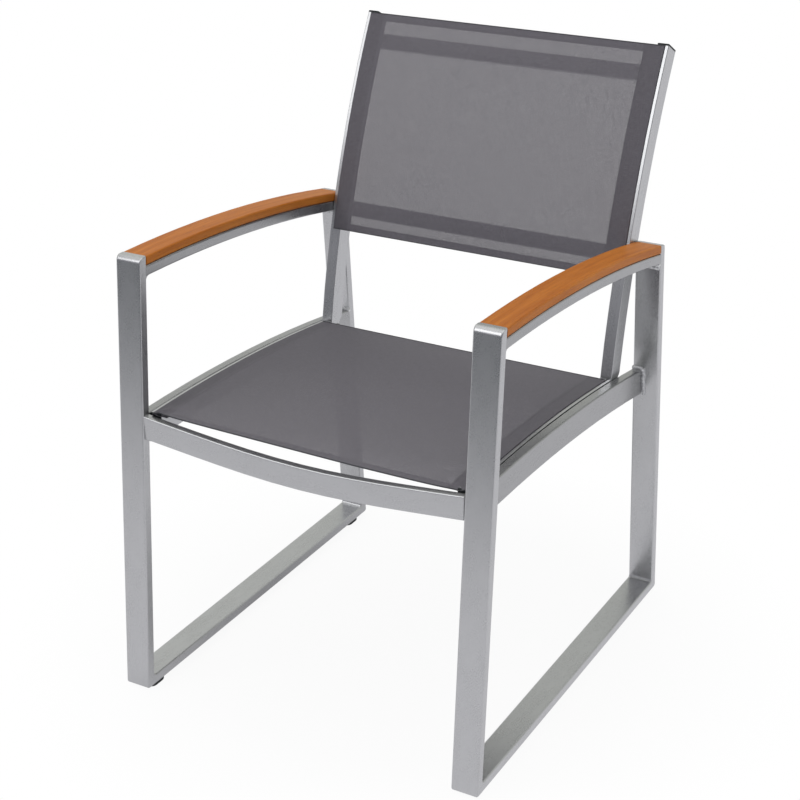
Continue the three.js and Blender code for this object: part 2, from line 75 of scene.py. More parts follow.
ahead = (CAMERA_TARGET - CAMERA_PLACE).normalized()
level_right = ahead.cross(Z).normalized()
level_up = level_right.cross(ahead)
camera_right = level_right * math.cos(CAMERA_ROLL) + level_up * math.sin(CAMERA_ROLL)
camera_up = level_up * math.cos(CAMERA_ROLL) - level_right * math.sin(CAMERA_ROLL)
lens = bpy.data.cameras.new("Camera")
lens.sensor_width = SENSOR_MM
lens.lens = CAMERA_LENS_MM
camera = bpy.data.objects.new("Camera", lens)
camera.matrix_world = Matrix.Translation(CAMERA_PLACE) @ Matrix(
    (camera_right, camera_up, -ahead)
).transposed().to_4x4()
bpy.context.scene.collection.objects.link(camera)
bpy.context.scene.camera = camera


# Side frames: the legs and the floor runner are one flat tube with its long side across the chair,
# cut at a slant and welded at the floor corners, and the welds are ground flush. Anodised aluminium,
# with a satin grain along each tube. The legs' tops are closed and rounded over beside the arm pads.
LEG_LEAN = math.radians(4.4)
TUBE_CORNER = 0.0024
CORNER_STEPS = 5
TOE_ROUND = 0.0035
CORNER_WELD = 0.0045
BEND_STEPS = 8
FRONT_TOP_ROUND = 0.0085
REAR_TOP_ROUND = 0.004
TOP_SIDE_ROUND = 0.0014
TOP_STEPS = 12
CLOSED_GAP = 0.0003
FACE_SLACK = 0.00002
STEP_APART = 0.018
SHARP_ANGLE = math.radians(32)
ALUMINIUM_DARK = (0.50, 0.505, 0.51, 1)
ALUMINIUM_LIGHT = (0.60, 0.605, 0.61, 1)
ALUMINIUM_ROUGHNESS = 0.28
SCRATCH_SCALES = (260, 1500, 1500)
GRAIN_SCALES = (1300, 1300, 1300)
CLOUD_SCALES = (25, 60, 60)
SCRATCH_SHARE = 0.3
GRAIN_SHARE = 0.35
CLOUD_SHARE = 0.35
METAL_TONES = (0.3, 0.7)
METAL_SHARE = 0.9
METAL_UNEVEN = 0.06
SCRATCH_RELIEF_SHARE = 0.4
GRAIN_RELIEF_SHARE = 0.6
METAL_RELIEF = 0.000008
SOFT_RELIEF = 0.5


class Wire:
    """An output in a node tree. Sums on wires add Math nodes."""

    def __init__(self, tree, socket):
        self.tree = tree
        self.socket = socket

    def maths(self, operation, *values):
        return self.tree.add("ShaderNodeMath", {"operation": operation}, values)

    def __add__(self, other):
        return self.maths("ADD", self, other)

    def __radd__(self, other):
        return self.maths("ADD", other, self)

    def __sub__(self, other):
        return self.maths("SUBTRACT", self, other)

    def __rsub__(self, other):
        return self.maths("SUBTRACT", other, self)

    def __mul__(self, other):
        return self.maths("MULTIPLY", self, other)

    def __rmul__(self, other):
        return self.maths("MULTIPLY", other, self)

    def __truediv__(self, other):
        return self.maths("DIVIDE", self, other)

    def __abs__(self):
        return self.maths("ABSOLUTE", self)

    def between(self, low, high):
        """0 below low, 1 above high and a straight climb from one to the other."""
        return self.tree.add("ShaderNodeMapRange", {}, [self, low, high, 0.0, 1.0])


class Tree:
    """A node tree, filled one node at a time."""

    def __init__(self, tree):
        self.tree = tree

    def add(self, kind, settings, inputs, output=0):
        node = self.tree.nodes.new(kind)
        for key, value in settings.items():
            setattr(node, key, value)
        pairs = inputs.items() if isinstance(inputs, dict) else enumerate(inputs)
        for key, value in pairs:
            if isinstance(value, Wire):
                self.tree.links.new(value.socket, node.inputs[key])
            else:
                node.inputs[key].default_value = value
        return None if output is None else Wire(self, node.outputs[output])

    def parts(self, vector):
        split = self.add("ShaderNodeSeparateXYZ", {}, [vector])
        return [Wire(self, socket) for socket in split.socket.node.outputs]

    def blend(self, share, first, second):
        return self.add("ShaderNodeMix", {"data_type": "RGBA"}, {0: share, 6: first, 7: second}, 2)


class Finish(Tree):
    """A material. Its skin is the surface shader."""

    def __init__(self, name):
        self.material = bpy.data.materials.new(name)
        self.material.use_nodes = True
        super().__init__(self.material.node_tree)
        self.skin = self.tree.nodes["Principled BSDF"]

    def dress(self, **inputs):
        for name, value in inputs.items():
            socket = self.skin.inputs[name.replace("_", " ").title().replace("Ior", "IOR")]
            if isinstance(value, Wire):
                self.tree.links.new(value.socket, socket)
            else:
                socket.default_value = value

    def run(self):
        """Distance along a tube, board or cloth, and the two places across it, in metres."""
        return self.add("ShaderNodeAttribute", {"attribute_name": "run"}, {}, "Vector")

    def noise(self, place, scales, detail=2.0, roughness=0.5):
        spread = self.add("ShaderNodeMapping", {}, {"Vector": place, "Scale": scales})
        inputs = {"Vector": spread, "Scale": 1.0, "Detail": detail, "Roughness": roughness}
        return self.add("ShaderNodeTexNoise", {}, inputs)

    def relief(self, height, depth, strength=1.0):
        inputs = {"Height": height, "Distance": depth, "Strength": strength}
        return self.add("ShaderNodeBump", {}, inputs)


def satin_metal(name, dark, light, roughness):
    """Fine grain and short scratches along the tube, over the slow clouds of an anodised skin."""
    finish = Finish(name)
    run = finish.run()
    scratches = finish.noise(run, SCRATCH_SCALES, roughness=0.6)
    grain = finish.noise(run, GRAIN_SCALES)
    clouds = finish.noise(run, CLOUD_SCALES, detail=3.0)
    shade = scratches * SCRATCH_SHARE + grain * GRAIN_SHARE + clouds * CLOUD_SHARE
    height = scratches * SCRATCH_RELIEF_SHARE + grain * GRAIN_RELIEF_SHARE
    finish.dress(
        base_color=finish.blend(shade.between(*METAL_TONES), dark, light),
        metallic=METAL_SHARE,
        roughness=roughness + (grain - 0.5) * METAL_UNEVEN + (clouds - 0.5) * METAL_UNEVEN,
        normal=finish.relief(height, METAL_RELIEF, SOFT_RELIEF),
    )
    return finish.material


aluminium = satin_metal("Anodised aluminium", ALUMINIUM_DARK, ALUMINIUM_LIGHT, ALUMINIUM_ROUGHNESS)


def rounded(wide, deep, corner, steps=CORNER_STEPS):
    """A rectangle's outline with round corners, about its middle, counter-clockwise."""
    outline = []
    for quarter, (sx, sy) in enumerate(((1, 1), (-1, 1), (-1, -1), (1, -1))):
        for step in range(steps + 1):
            angle = (quarter + step / steps) * math.pi / 2
            x = sx * (wide / 2 - corner) + corner * math.cos(angle)
            y = sy * (deep / 2 - corner) + corner * math.sin(angle)
            outline.append((x, y))
    return outline


def stations(node, side, run, apart=STEP_APART):
    """Pairs of corners of a tube's flat face on one side, one pair for each step along the tube."""
    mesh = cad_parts[node].data
    points = np.empty(3 * len(mesh.vertices))
    mesh.vertices.foreach_get("co", points)
    points = points.reshape(-1, 3)
    reach = points @ np.array(side)
    face = points[reach > reach.max() - FACE_SLACK]
    face = face[np.argsort(face @ np.array(run))]
    breaks = np.flatnonzero(np.diff(face @ np.array(run)) > apart) + 1
    through = np.array(run.cross(side))
    pairs = []
    for step in np.split(face, breaks):
        level = step @ through
        pairs.append((Vector(step[level.argmin()]), Vector(step[level.argmax()])))
    return pairs


def tube_rings(node, side, run, wide, deep, corner):
    """Where the sections of a tube lie: a middle, and the vectors across it and through it."""
    flat = deep - 2 * corner
    rings = []
    for first, second in stations(node, side, run):
        rings.append(((first + second) / 2 - side * wide / 2, side, (second - first) / flat))
    return rings


def lengthened(rings, amount, last_amount=None):
    """The same tube, made longer at both ends so that it meets its neighbours."""
    rings = list(rings)
    more = amount if last_amount is None else last_amount
    for end, inner, extra in ((0, 1, amount), (-1, -2, more)):
        origin, across, through = rings[end]
        outwards = (origin - rings[inner][0]).normalized()
        rings[end] = (origin + outwards * extra, across, through)
    return rings


def new_piece(name, points, faces, runs=None):
    mesh = bpy.data.meshes.new(name)
    mesh.from_pydata([tuple(p) for p in points], [], faces)
    if runs is not None:
        attribute = mesh.attributes.new("run", "FLOAT_VECTOR", "POINT")
        attribute.data.foreach_set("vector", np.array(runs, float).ravel())
    shell = bmesh.new()
    shell.from_mesh(mesh)
    bmesh.ops.recalc_face_normals(shell, faces=shell.faces)
    shell.to_mesh(mesh)
    shell.free()
    mesh.shade_smooth()
    mesh.set_sharp_from_angle(angle=SHARP_ANGLE)
    piece = bpy.data.objects.new(name, mesh)
    bpy.context.scene.collection.objects.link(piece)
    even = piece.modifiers.new("Even shading", "WEIGHTED_NORMAL")
    even.keep_sharp = True
    return piece


def swept(name, outline, rings, hole=()):
    """A closed piece that carries its outline, and a hole right through it, from ring to ring."""
    section = [*outline, *hole]
    points, runs, along = [], [], 0.0
    for index, (origin, across, through) in enumerate(rings):
        if index:
            along += (origin - rings[index - 1][0]).length
        for x, y in section:
            points.append(origin + across * x + through * y)
            runs.append((along, x, y))
    faces = []
    for ring in range(len(rings) - 1):
        for start, count in ((0, len(outline)), (len(outline), len(hole))):
            for i in range(count):
                a = ring * len(section) + start + i
                b = ring * len(section) + start + (i + 1) % count
                faces.append((a, b, b + len(section), a + len(section)))
    loops = [[Vector((x, y, 0)) for x, y in loop] for loop in (outline, hole) if loop]
    last = (len(rings) - 1) * len(section)
    for a, b, c in tessellate_polygon(loops):
        faces.append((a, b, c))
        faces.append((last + c, last + b, last + a))
    return new_piece(name, points, faces, runs)


def fix(piece, material, slot, *nodes):
    """Paints a piece, fixes it to the chair's one body and lets it stand for its plain solids."""
    piece.data.materials.clear()
    piece.data.materials.append(material)
    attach(piece, "root")
    if nodes:
        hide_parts(*nodes)
    return piece


def fix_pair(piece, material, slot, *nodes):
    """The right-hand piece, and its mirror image on the left."""
    twin = piece.copy()
    twin.data = piece.data.copy()
    twin.name = piece.name.replace("right", "left")
    twin.data.transform(Matrix.Scale(-1, 4, X))
    twin.data.flip_normals()
    bpy.context.scene.collection.objects.link(twin)
    fix(piece, material, slot, *("right_" + node for node in nodes))
    fix(twin, material, slot, *("left_" + node for node in nodes))
    return piece, twin


def rounding(height, radius):
    """How far a rounded edge draws in at this height below the top."""
    return radius - math.sqrt(radius**2 - max(0.0, radius - height) ** 2)


def bend_point(corner, arriving, leaving, radius, share):
    """A point on the arc that rounds a corner."""
    turn = arriving.angle(leaving)
    sideways = (leaving - arriving * leaving.dot(arriving)).normalized()
    centre = corner - arriving * radius * math.tan(turn / 2) + sideways * radius
    return centre + (arriving * math.sin(share * turn) - sideways * math.cos(share * turn)) * radius


runner_low, runner_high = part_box("right_floor_runner")
front_leg_low, front_leg_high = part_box("right_front_leg")
rear_leg_low, rear_leg_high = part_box("right_rear_leg")
tube_deep = runner_high.z - runner_low.z
tube_wide = runner_high.x - runner_low.x
leg_x = (runner_low.x + runner_high.x) / 2
pad_line = [(first + second) / 2 for first, second in stations("right_arm_pad", X, Y)]


class Leg:
    """A leg's straight tube, from its outer corner on the floor to its cut and rounded top."""

    def __init__(self, toe, up, into, top, slope, top_round):
        self.toe = toe
        self.up = up
        self.into = into
        self.top = top
        self.normal = X.cross(slope)
        self.top_round = top_round

    def floor_corner(self):
        """The corner between the leg's inner face and the runner's top."""
        rise = (self.toe.z + tube_deep - (self.toe + self.into * tube_deep).z) / self.up.z
        return self.toe + self.into * tube_deep + self.up * rise

    def inner_face(self, height):
        """The middle of the face towards the seat, at this height above the floor."""
        foot = self.toe + self.into * tube_deep
        return foot + self.up * ((height - foot.z) / self.up.z)

    def under_top(self, inwards, height):
        foot = self.toe + self.into * inwards
        reach = (self.top - self.up * height - foot).dot(self.normal) / self.up.dot(self.normal)
        return foot + self.up * reach

    def top_rings(self):
        """Rings from the flat top down to where the rounding ends."""
        rings = []
        for step in range(TOP_STEPS + 1):
            height = self.top_round * (1 - math.cos(step / TOP_STEPS * math.pi / 2))
            outer = self.under_top(rounding(height, self.top_round), height)
            inner = self.under_top(tube_deep, height)
            narrow = 1 - 2 * rounding(height, TOP_SIDE_ROUND) / tube_wide
            rings.append(((outer + inner) / 2, X * narrow, (inner - outer) / tube_deep))
        return rings


def floor_bend(leg, arriving, leaving):
    """Rings round the corner where a leg meets the runner, with its small weld inside."""
    rings = []
    for step in range(BEND_STEPS + 1):
        share = step / BEND_STEPS
        outer = bend_point(leg.toe, arriving, leaving, TOE_ROUND, share)
        inner = bend_point(leg.floor_corner(), arriving, leaving, CORNER_WELD, share)
        rings.append(((outer + inner) / 2, X, (inner - outer) / tube_deep))
    return rings


front_leg = Leg(
    Vector((leg_x, front_leg_low.y, runner_low.z)),
    Vector((0, math.sin(LEG_LEAN), math.cos(LEG_LEAN))),
    Vector((0, math.cos(LEG_LEAN), -math.sin(LEG_LEAN))),
    Vector((leg_x, front_leg_high.y, front_leg_high.z)),
    (pad_line[1] - pad_line[0]).normalized(),
    FRONT_TOP_ROUND,
)
rear_leg = Leg(
    Vector((leg_x, rear_leg_high.y, runner_low.z)),
    Vector((0, -math.sin(LEG_LEAN), math.cos(LEG_LEAN))),
    Vector((0, -math.cos(LEG_LEAN), -math.sin(LEG_LEAN))),
    Vector((leg_x, rear_leg_low.y, rear_leg_high.z)),
    (pad_line[-1] - pad_line[-2]).normalized(),
    REAR_TOP_ROUND,
)
sled_rings = [
    *front_leg.top_rings(),
    *floor_bend(front_leg, -front_leg.up, Y),
    *floor_bend(rear_leg, Y, rear_leg.up),
    *reversed(rear_leg.top_rings()),
]
tube_outline = rounded(tube_wide, tube_deep, TUBE_CORNER)
sled = swept("right_side_frame", tube_outline, sled_rings)
fix_pair(sled, aluminium, "aluminium", "front_leg", "rear_leg", "floor_runner")


# Arm rails and seat stretchers: the same flat tube, arched. The arm rail lies flat under its pad and
# the stretcher stands on edge beside the seat. Both are welded in between the front and rear legs.
# Their skin is the same aluminium painted darker, as painted shade for the darker surroundings they
# mirror.
CAD_TUBE_CORNER = 0.002
# Painted shade: the aluminium's colours, made darker.
SHADED_DARK = (0.372, 0.376, 0.378, 1)
SHADED_LIGHT = (0.446, 0.450, 0.453, 1)

shaded_aluminium = satin_metal("Bent aluminium", SHADED_DARK, SHADED_LIGHT, ALUMINIUM_ROUGHNESS)

arm_rings = tube_rings("right_arm_rail", X, Y, tube_wide, tube_deep, CAD_TUBE_CORNER)
arm_rail = swept("right_arm_tube", tube_outline, lengthened(arm_rings, TUBE_CORNER, CLOSED_GAP))
fix_pair(arm_rail, shaded_aluminium, "aluminium", "arm_rail")

stretcher_rings = tube_rings("right_seat_stretcher", X, Y, tube_deep, tube_wide, CAD_TUBE_CORNER)
on_edge = rounded(tube_deep, tube_wide, TUBE_CORNER)
stretcher = swept("right_seat_tube", on_edge, lengthened(stretcher_rings, CLOSED_GAP))
fix_pair(stretcher, shaded_aluminium, "aluminium", "seat_stretcher")


# Crossbars: narrower tubes bowed downwards, so that nobody sits on them. The front one is welded
# between the front legs and the rear one between the slotted rails, where the seat hides it. A fine
# dark groove stays open round the front one's right end, beside the leg.
CROSSBAR_DEEP = 0.012
CROSSBAR_TALL = 0.034
BAR_CORNER = 0.0018
END_FLATNESS = 0.0054
END_BEVEL = 0.0008
END_GROOVE = 0.0012
GROOVE_DEEP = 0.0030

crossbar_outline = rounded(CROSSBAR_DEEP, CROSSBAR_TALL, BAR_CORNER)
leaning_rings = tube_rings(
    "front_crossbar", -front_leg.into, X, CROSSBAR_DEEP, CROSSBAR_TALL, CAD_TUBE_CORNER
)
upright = Matrix.Rotation(LEG_LEAN, 3, X)
set_back = Y * CROSSBAR_TALL / 2 * math.sin(LEG_LEAN)
half_span = leaning_rings[-1][0].x
front_rings = []
for origin, across, through in leaning_rings:
    share = origin.x / half_span
    flatter = END_FLATNESS * (1 - share**2 - (1 + math.cos(math.pi * share)) / 2)
    front_rings.append((origin + set_back + Z * flatter, upright @ across, upright @ through))
front_rings = lengthened(front_rings, CLOSED_GAP, -END_BEVEL - END_GROOVE)
last_origin, last_across, last_through = front_rings[-1]
last_run = (front_rings[-1][0] - front_rings[-2][0]).normalized()
narrow = 1 - 2 * END_BEVEL / CROSSBAR_DEEP
lower = 1 - 2 * END_BEVEL / CROSSBAR_TALL
front_rings.append((last_origin + last_run * END_BEVEL, last_across * narrow, last_through * lower))
front_bar = swept("front_bowed_bar", crossbar_outline, front_rings)
fix(front_bar, aluminium, "aluminium", "front_crossbar")
inner_outline = rounded(CROSSBAR_DEEP - 2 * GROOVE_DEEP, CROSSBAR_TALL - 2 * GROOVE_DEEP, BAR_CORNER)
groove_rings = [
    (last_origin + last_run * beyond, last_across, last_through)
    for beyond in (END_BEVEL / 2, END_BEVEL + END_GROOVE + CLOSED_GAP)
]
fix(swept("right_groove_weld", inner_outline, groove_rings), aluminium, "aluminium")
rear_rings = tube_rings("rear_crossbar", -Y, X, CROSSBAR_DEEP, CROSSBAR_TALL, CAD_TUBE_CORNER)
rear_bar = swept("rear_bowed_bar", crossbar_outline, lengthened(rear_rings, CLOSED_GAP))
fix(rear_bar, aluminium, "aluminium", "rear_crossbar")


# Welds: beads of overlapping ripples where the tubes end on the rear legs, in two rows under the arm
# rails, and round the rear crossbar's ends. Under the front ends of the arm rails, and at the front
# crossbar's left end, the weld is ground smooth.
BEAD_WIDE = 0.0085
BEAD_LONG_SHARE = 0.7
BEAD_SPACING = 0.0021
BEAD_PROUD = 0.0014
BEAD_SMALLEST = Vector((0.8, 0.85, 0.85))
BEAD_LARGEST = Vector((1.1, 1.12, 1.12))
LEG_WELD_SEED = 3
BAR_WELD_SEED = 5
BAR_BEAD_SCALE = 0.6
BAR_BEAD_PROUD = 0.0004
STRETCHER_WELD_SHARES = [(1, 0.94), (1, 0.3), (1, -0.4), (1, -0.96), (0.3, -1), (-0.7, -1)]
ARM_WELD_SHARES = [(-0.75, 1), (-0.3, 1), (0.3, 1), (0.75, 1)]
LOW_ROW_SHARES = [(-0.45, 1), (-0.1, 1), (0.1, 1), (0.45, 1)]
BAR_WELD_SHARES = [
    (-0.9, -1), (0.9, -1), (1, -0.9), (1, 0.9), (0.9, 1), (-0.9, 1), (-1, 0.9), (-1, -0.9)
]
LOW_ROW = 0.0070
LOW_ROW_SUNK = 0.0016
FILLET_ROUND = 0.0075
FILLET_STEPS = 8
FILLET_ROOT = 0.0008
GROUND_WELD_LONG = 0.0095
GROUND_WELD_PROUD = 0.0002
LEVEL_SHARE = 0.8
WELD_DARK = (0.50, 0.505, 0.51, 1)
WELD_LIGHT = (0.92, 0.925, 0.93, 1)
WELD_TONES = (0.35, 0.65)
WELD_ROUGHNESS = 0.22
WELD_UNEVEN = 0.2
WELD_METAL_SHARE = 0.75
WELD_RELIEF = 0.0003
SPATTER_SCALES = (420, 420, 420)

welded = Finish("Weld metal")
weld_place = welded.add("ShaderNodeTexCoord", {}, {}, "Object")
spatter = welded.noise(weld_place, SPATTER_SCALES, detail=3.0, roughness=0.6)
welded.dress(
    base_color=welded.blend(spatter.between(*WELD_TONES), WELD_DARK, WELD_LIGHT),
    metallic=WELD_METAL_SHARE,
    roughness=WELD_ROUGHNESS + spatter * WELD_UNEVEN,
    normal=welded.relief(spatter, WELD_RELIEF, SOFT_RELIEF),
)

PATH_INPUTS = {
    "Geometry": "NodeSocketGeometry",
    "Spacing": "NodeSocketFloat",
    "Pattern": "NodeSocketObject",
    "Smallest": "NodeSocketVector",
    "Largest": "NodeSocketVector",
    "Seed": "NodeSocketInt",
    "Material": "NodeSocketMaterial",
}


def growing_tree(name, inputs):
    """An empty geometry tree with these named inputs, and a way to read each of them."""
    group = bpy.data.node_groups.new(name, "GeometryNodeTree")
    for label, kind in inputs.items():
        group.interface.new_socket(label, in_out="INPUT", socket_type=kind)
    group.interface.new_socket("Geometry", in_out="OUTPUT", socket_type="NodeSocketGeometry")
    tree = Tree(group)
    return tree, lambda label: tree.add("NodeGroupInput", {}, {}, label)


def finish_growing(tree, given, rows):
    solid = tree.add("GeometryNodeRealizeInstances", {}, {"Geometry": rows})
    painted = tree.add(
        "GeometryNodeSetMaterial", {}, {"Geometry": solid, "Material": given("Material")}
    )
    tree.add("NodeGroupOutput", {}, {"Geometry": painted}, None)
    return tree.tree


def path_tree():
    """Copies of a pattern along a path, turned to follow it, each a little larger or smaller."""
    tree, given = growing_tree("Pattern along a path", PATH_INPUTS)
    curve = tree.add("GeometryNodeMeshToCurve", {}, {"Mesh": given("Geometry")})
    spacing = {"Curve": curve, "Length": given("Spacing")}
    steps = tree.add("GeometryNodeResampleCurve", {"mode": "LENGTH"}, spacing)
    tangent = tree.add("GeometryNodeInputTangent", {}, {})
    turn = tree.add("FunctionNodeAlignRotationToVector", {"axis": "X"}, {"Vector": tangent})
    sizes = {0: given("Smallest"), 1: given("Largest"), "Seed": given("Seed")}
    size = tree.add("FunctionNodeRandomValue", {"data_type": "FLOAT_VECTOR"}, sizes)
    pattern = tree.add("GeometryNodeObjectInfo", {}, {"Object": given("Pattern")}, "Geometry")
    copies = {"Points": steps, "Instance": pattern, "Rotation": turn, "Scale": size}
    rows = tree.add("GeometryNodeInstanceOnPoints", {}, copies)
    return finish_growing(tree, given, rows)


def grown(name, tree, base, inputs):
    """The piece that a geometry tree makes from a base mesh, as plain mesh."""
    source = bpy.data.objects.new(name + "_base", base)
    bpy.context.scene.collection.objects.link(source)
    modifier = source.modifiers.new("Growth", "NODES")
    modifier.node_group = tree
    for item in tree.interface.items_tree:
        if item.in_out == "INPUT" and item.name in inputs:
            modifier[item.identifier] = inputs[item.name]
    depsgraph = bpy.context.evaluated_depsgraph_get()
    mesh = bpy.data.meshes.new_from_object(source.evaluated_get(depsgraph), depsgraph=depsgraph)
    source.modifiers.remove(modifier)
    bpy.data.objects.remove(source)
    mesh.name = name
    mesh.shade_smooth()
    mesh.set_sharp_from_angle(angle=SHARP_ANGLE)
    piece = bpy.data.objects.new(name, mesh)
    bpy.context.scene.collection.objects.link(piece)
    return piece


def paths_mesh(paths):
    """Open paths as one mesh of edges."""
    points, edges = [], []
    for path in paths:
        edges += [(len(points) + i, len(points) + i + 1) for i in range(len(path) - 1)]
        points += [tuple(point) for point in path]
    mesh = bpy.data.meshes.new("paths")
    mesh.from_pydata(points, edges, [])
    return mesh


def ball(name, steps, rounds, size):
    """A round pattern, squeezed to this size. It lies apart from the scene and is removed after use."""
    mesh = bpy.data.meshes.new(name)
    shape = bmesh.new()
    bmesh.ops.create_uvsphere(shape, u_segments=steps, v_segments=rounds, radius=0.5)
    shape.transform(Matrix.Diagonal((*size, 1)))
    shape.to_mesh(mesh)
    shape.free()
    mesh.shade_smooth()
    return bpy.data.objects.new(name, mesh)


along_path = path_tree()
ripple = ball("ripple", 10, 7, (BEAD_WIDE * BEAD_LONG_SHARE, BEAD_WIDE, BEAD_WIDE))


def beads(name, paths, seed, scale=1.0):
    inputs = {
        "Spacing": BEAD_SPACING * scale,
        "Pattern": ripple,
        "Smallest": BEAD_SMALLEST * scale,
        "Largest": BEAD_LARGEST * scale,
        "Seed": seed,
        "Material": welded.material,
    }
    return grown(name, along_path, paths_mesh(paths), inputs)


def on_section(ring, wide, deep, places, proud=BEAD_PROUD, sunk=0.0):
    """A path round a tube's end. Places are shares of its half width and half depth."""
    origin, across, through = ring
    across, through = across.normalized(), through.normalized()
    inward = across.cross(through) * sunk
    path = []
    for x, y in places:
        aside = x * wide / 2 + proud * np.sign(x)
        below = y * deep / 2 + proud * np.sign(y)
        path.append(origin + across * aside + through * below + inward)
    return path


stretcher_end = lengthened(stretcher_rings, CLOSED_GAP)[-1]
arm_end = lengthened(arm_rings, CLOSED_GAP)[-1]
rough_welds = [
    on_section(stretcher_end, tube_deep, tube_wide, STRETCHER_WELD_SHARES),
    on_section(arm_end, tube_wide, tube_deep, ARM_WELD_SHARES),
    on_section(arm_end, tube_wide, tube_deep, LOW_ROW_SHARES, LOW_ROW, LOW_ROW_SUNK),
]
leg_welds = beads("right_leg_welds", rough_welds, LEG_WELD_SEED)
fix_pair(leg_welds, welded.material, "aluminium")

rear_bar_end = lengthened(rear_rings, CLOSED_GAP)[-1]
all_round = [*BAR_WELD_SHARES, BAR_WELD_SHARES[0]]
bar_ring = on_section(rear_bar_end, CROSSBAR_DEEP, CROSSBAR_TALL, all_round, BAR_BEAD_PROUD)
bar_weld = beads("right_rear_bar_weld", [bar_ring], BAR_WELD_SEED, BAR_BEAD_SCALE)
fix_pair(bar_weld, welded.material, "aluminium")


def ground_fillet(name, corner, first, second, low, high):
    """A smooth concave fillet in a corner between two faces, from one side of a tube to the other."""
    first, second = first.normalized(), second.normalized()
    half_turn = first.angle(second) / 2
    reach = FILLET_ROUND / math.tan(half_turn)
    middle = corner + (first + second).normalized() * FILLET_ROUND / math.sin(half_turn)
    start = (corner + first * reach - middle).normalized()
    end = (corner + second * reach - middle).normalized()
    turns = [start.slerp(end, i / FILLET_STEPS) for i in range(FILLET_STEPS + 1)]
    arc = [middle + turn * FILLET_ROUND for turn in turns]
    root = corner - (first + second) * FILLET_ROOT
    section = [root + first * reach, *arc, root + second * reach, root]
    count = len(section)
    points = [Vector((x, p.y, p.z)) for x in (low, high) for p in section]
    faces = [(i, (i + 1) % count, (i + 1) % count + count, i + count) for i in range(count)]
    loop = [[Vector((p.y, p.z, 0)) for p in section]]
    for a, b, c in tessellate_polygon(loop):
        faces += [(a, b, c), (c + count, b + count, a + count)]
    return new_piece(name, points, faces, [(p.z, p.x, p.y) for p in points])


def meeting(point, direction, face_point, face_normal):
    """Where a line reaches a plane."""
    return point + direction * ((face_point - point).dot(face_normal) / direction.dot(face_normal))


arm_run = (arm_rings[1][0] - arm_rings[0][0]).normalized()
arm_under = arm_rings[0][0] + arm_rings[0][2].normalized() * tube_deep / 2
leg_back = front_leg.inner_face(arm_under.z)
arm_corner = meeting(arm_under, arm_run, leg_back, front_leg.into)
fillet = ground_fillet(
    "right_arm_fillet",
    arm_corner,
    -front_leg.up,
    arm_run,
    runner_low.x + TOP_SIDE_ROUND,
    runner_high.x - TOP_SIDE_ROUND,
)
fix_pair(fillet, aluminium, "aluminium")

first_origin, first_across, first_through = front_rings[0]
first_run = (front_rings[1][0] - first_origin).normalized()
proud = 1 + 2 * GROUND_WELD_PROUD / CROSSBAR_DEEP
collar_rings = [
    (first_origin + first_run * inwards, first_across * wide, first_through * wide)
    for inwards, wide in ((0, proud), (GROUND_WELD_LONG * LEVEL_SHARE, proud), (GROUND_WELD_LONG, 1))
]
collar = swept("left_ground_weld", crossbar_outline, collar_rings)
fix(collar, aluminium, "aluminium")


# Arm pads: oiled hardwood strips, bent like the rails under them and screwed on from below. The
# grain runs along the arm, with fine dark pores.
PAD_CORNER = 0.0028
CAD_PAD_CORNER = 0.0025
WOOD_LIGHT = (0.68, 0.232, 0.027, 1)
WOOD_DARK = (0.46, 0.120, 0.007, 1)
WOOD_PORE = (0.20, 0.045, 0.003, 1)
WOOD_TONES = (0.34, 0.66)
WOOD_ROUGHNESS = 0.52
WOOD_UNEVEN = 0.2
WOOD_RELIEF = 0.00012
WOOD_RELIEF_STRENGTH = 0.7
FIGURE_SCALES = (5, 130, 130)
FIGURE_SHARE = 0.6
FIBRE_SCALES = (22, 900, 900)
FIBRE_SHARE = 0.4
PORE_SCALES = (55, 1500, 1500)
PORE_TONES = (0.62, 0.70)
PORE_SHARE = 0.45
PORE_DEEP_SHARE = 0.6
DULL_SHINE = 0.3

hardwood = Finish("Oiled hardwood")
grain_run = hardwood.run()
figure = hardwood.noise(grain_run, FIGURE_SCALES, detail=4.0, roughness=0.6)
fibres = hardwood.noise(grain_run, FIBRE_SCALES, detail=3.0, roughness=0.6)
pores = hardwood.noise(grain_run, PORE_SCALES).between(*PORE_TONES)
tone = (figure * FIGURE_SHARE + fibres * FIBRE_SHARE).between(*WOOD_TONES)
wood_shade = hardwood.blend(tone, WOOD_DARK, WOOD_LIGHT)
hardwood.dress(
    base_color=hardwood.blend(pores * PORE_SHARE, wood_shade, WOOD_PORE),
    roughness=WOOD_ROUGHNESS + (fibres - 0.5) * WOOD_UNEVEN,
    normal=hardwood.relief(fibres - pores * PORE_DEEP_SHARE, WOOD_RELIEF, WOOD_RELIEF_STRENGTH),
    specular_ior_level=DULL_SHINE,
)

pad_top, pad_bottom = stations("right_arm_pad", X, Y)[1]
pad_deep = (pad_bottom - pad_top).length + 2 * CAD_PAD_CORNER
pad_rings = tube_rings("right_arm_pad", X, Y, tube_wide, pad_deep, CAD_PAD_CORNER)
pad = swept("right_wooden_arm", rounded(tube_wide, pad_deep, PAD_CORNER), pad_rings)
fix_pair(pad, hardwood.material, "hardwood", "arm_pad")


# Slotted rails: one extrusion makes the back posts and the seat's side rails. A slot in the face
# towards the sitter opens into a round channel for the cloth's corded edge. Below the back cloth a
# flush strip closes the slot. The side rails stand off the stretchers by a fine gap.
RAIL_WIDE = 0.018
RAIL_DEEP = 0.032
RAIL_CORNER = 0.0011
CAD_RAIL_CORNER = 0.0016
RAIL_WALL = 0.0018
SLOT_FROM_EDGE = 0.0050
SLOT_WIDE = 0.0026
SLOT_LIP = 0.0019
CHANNEL_WIDE = 0.0072
CHANNEL_STEPS = 12
FILLER_SUNK = 0.00012
FILLER_SLACK = 0.00005
SIDE_GAP = 0.0006

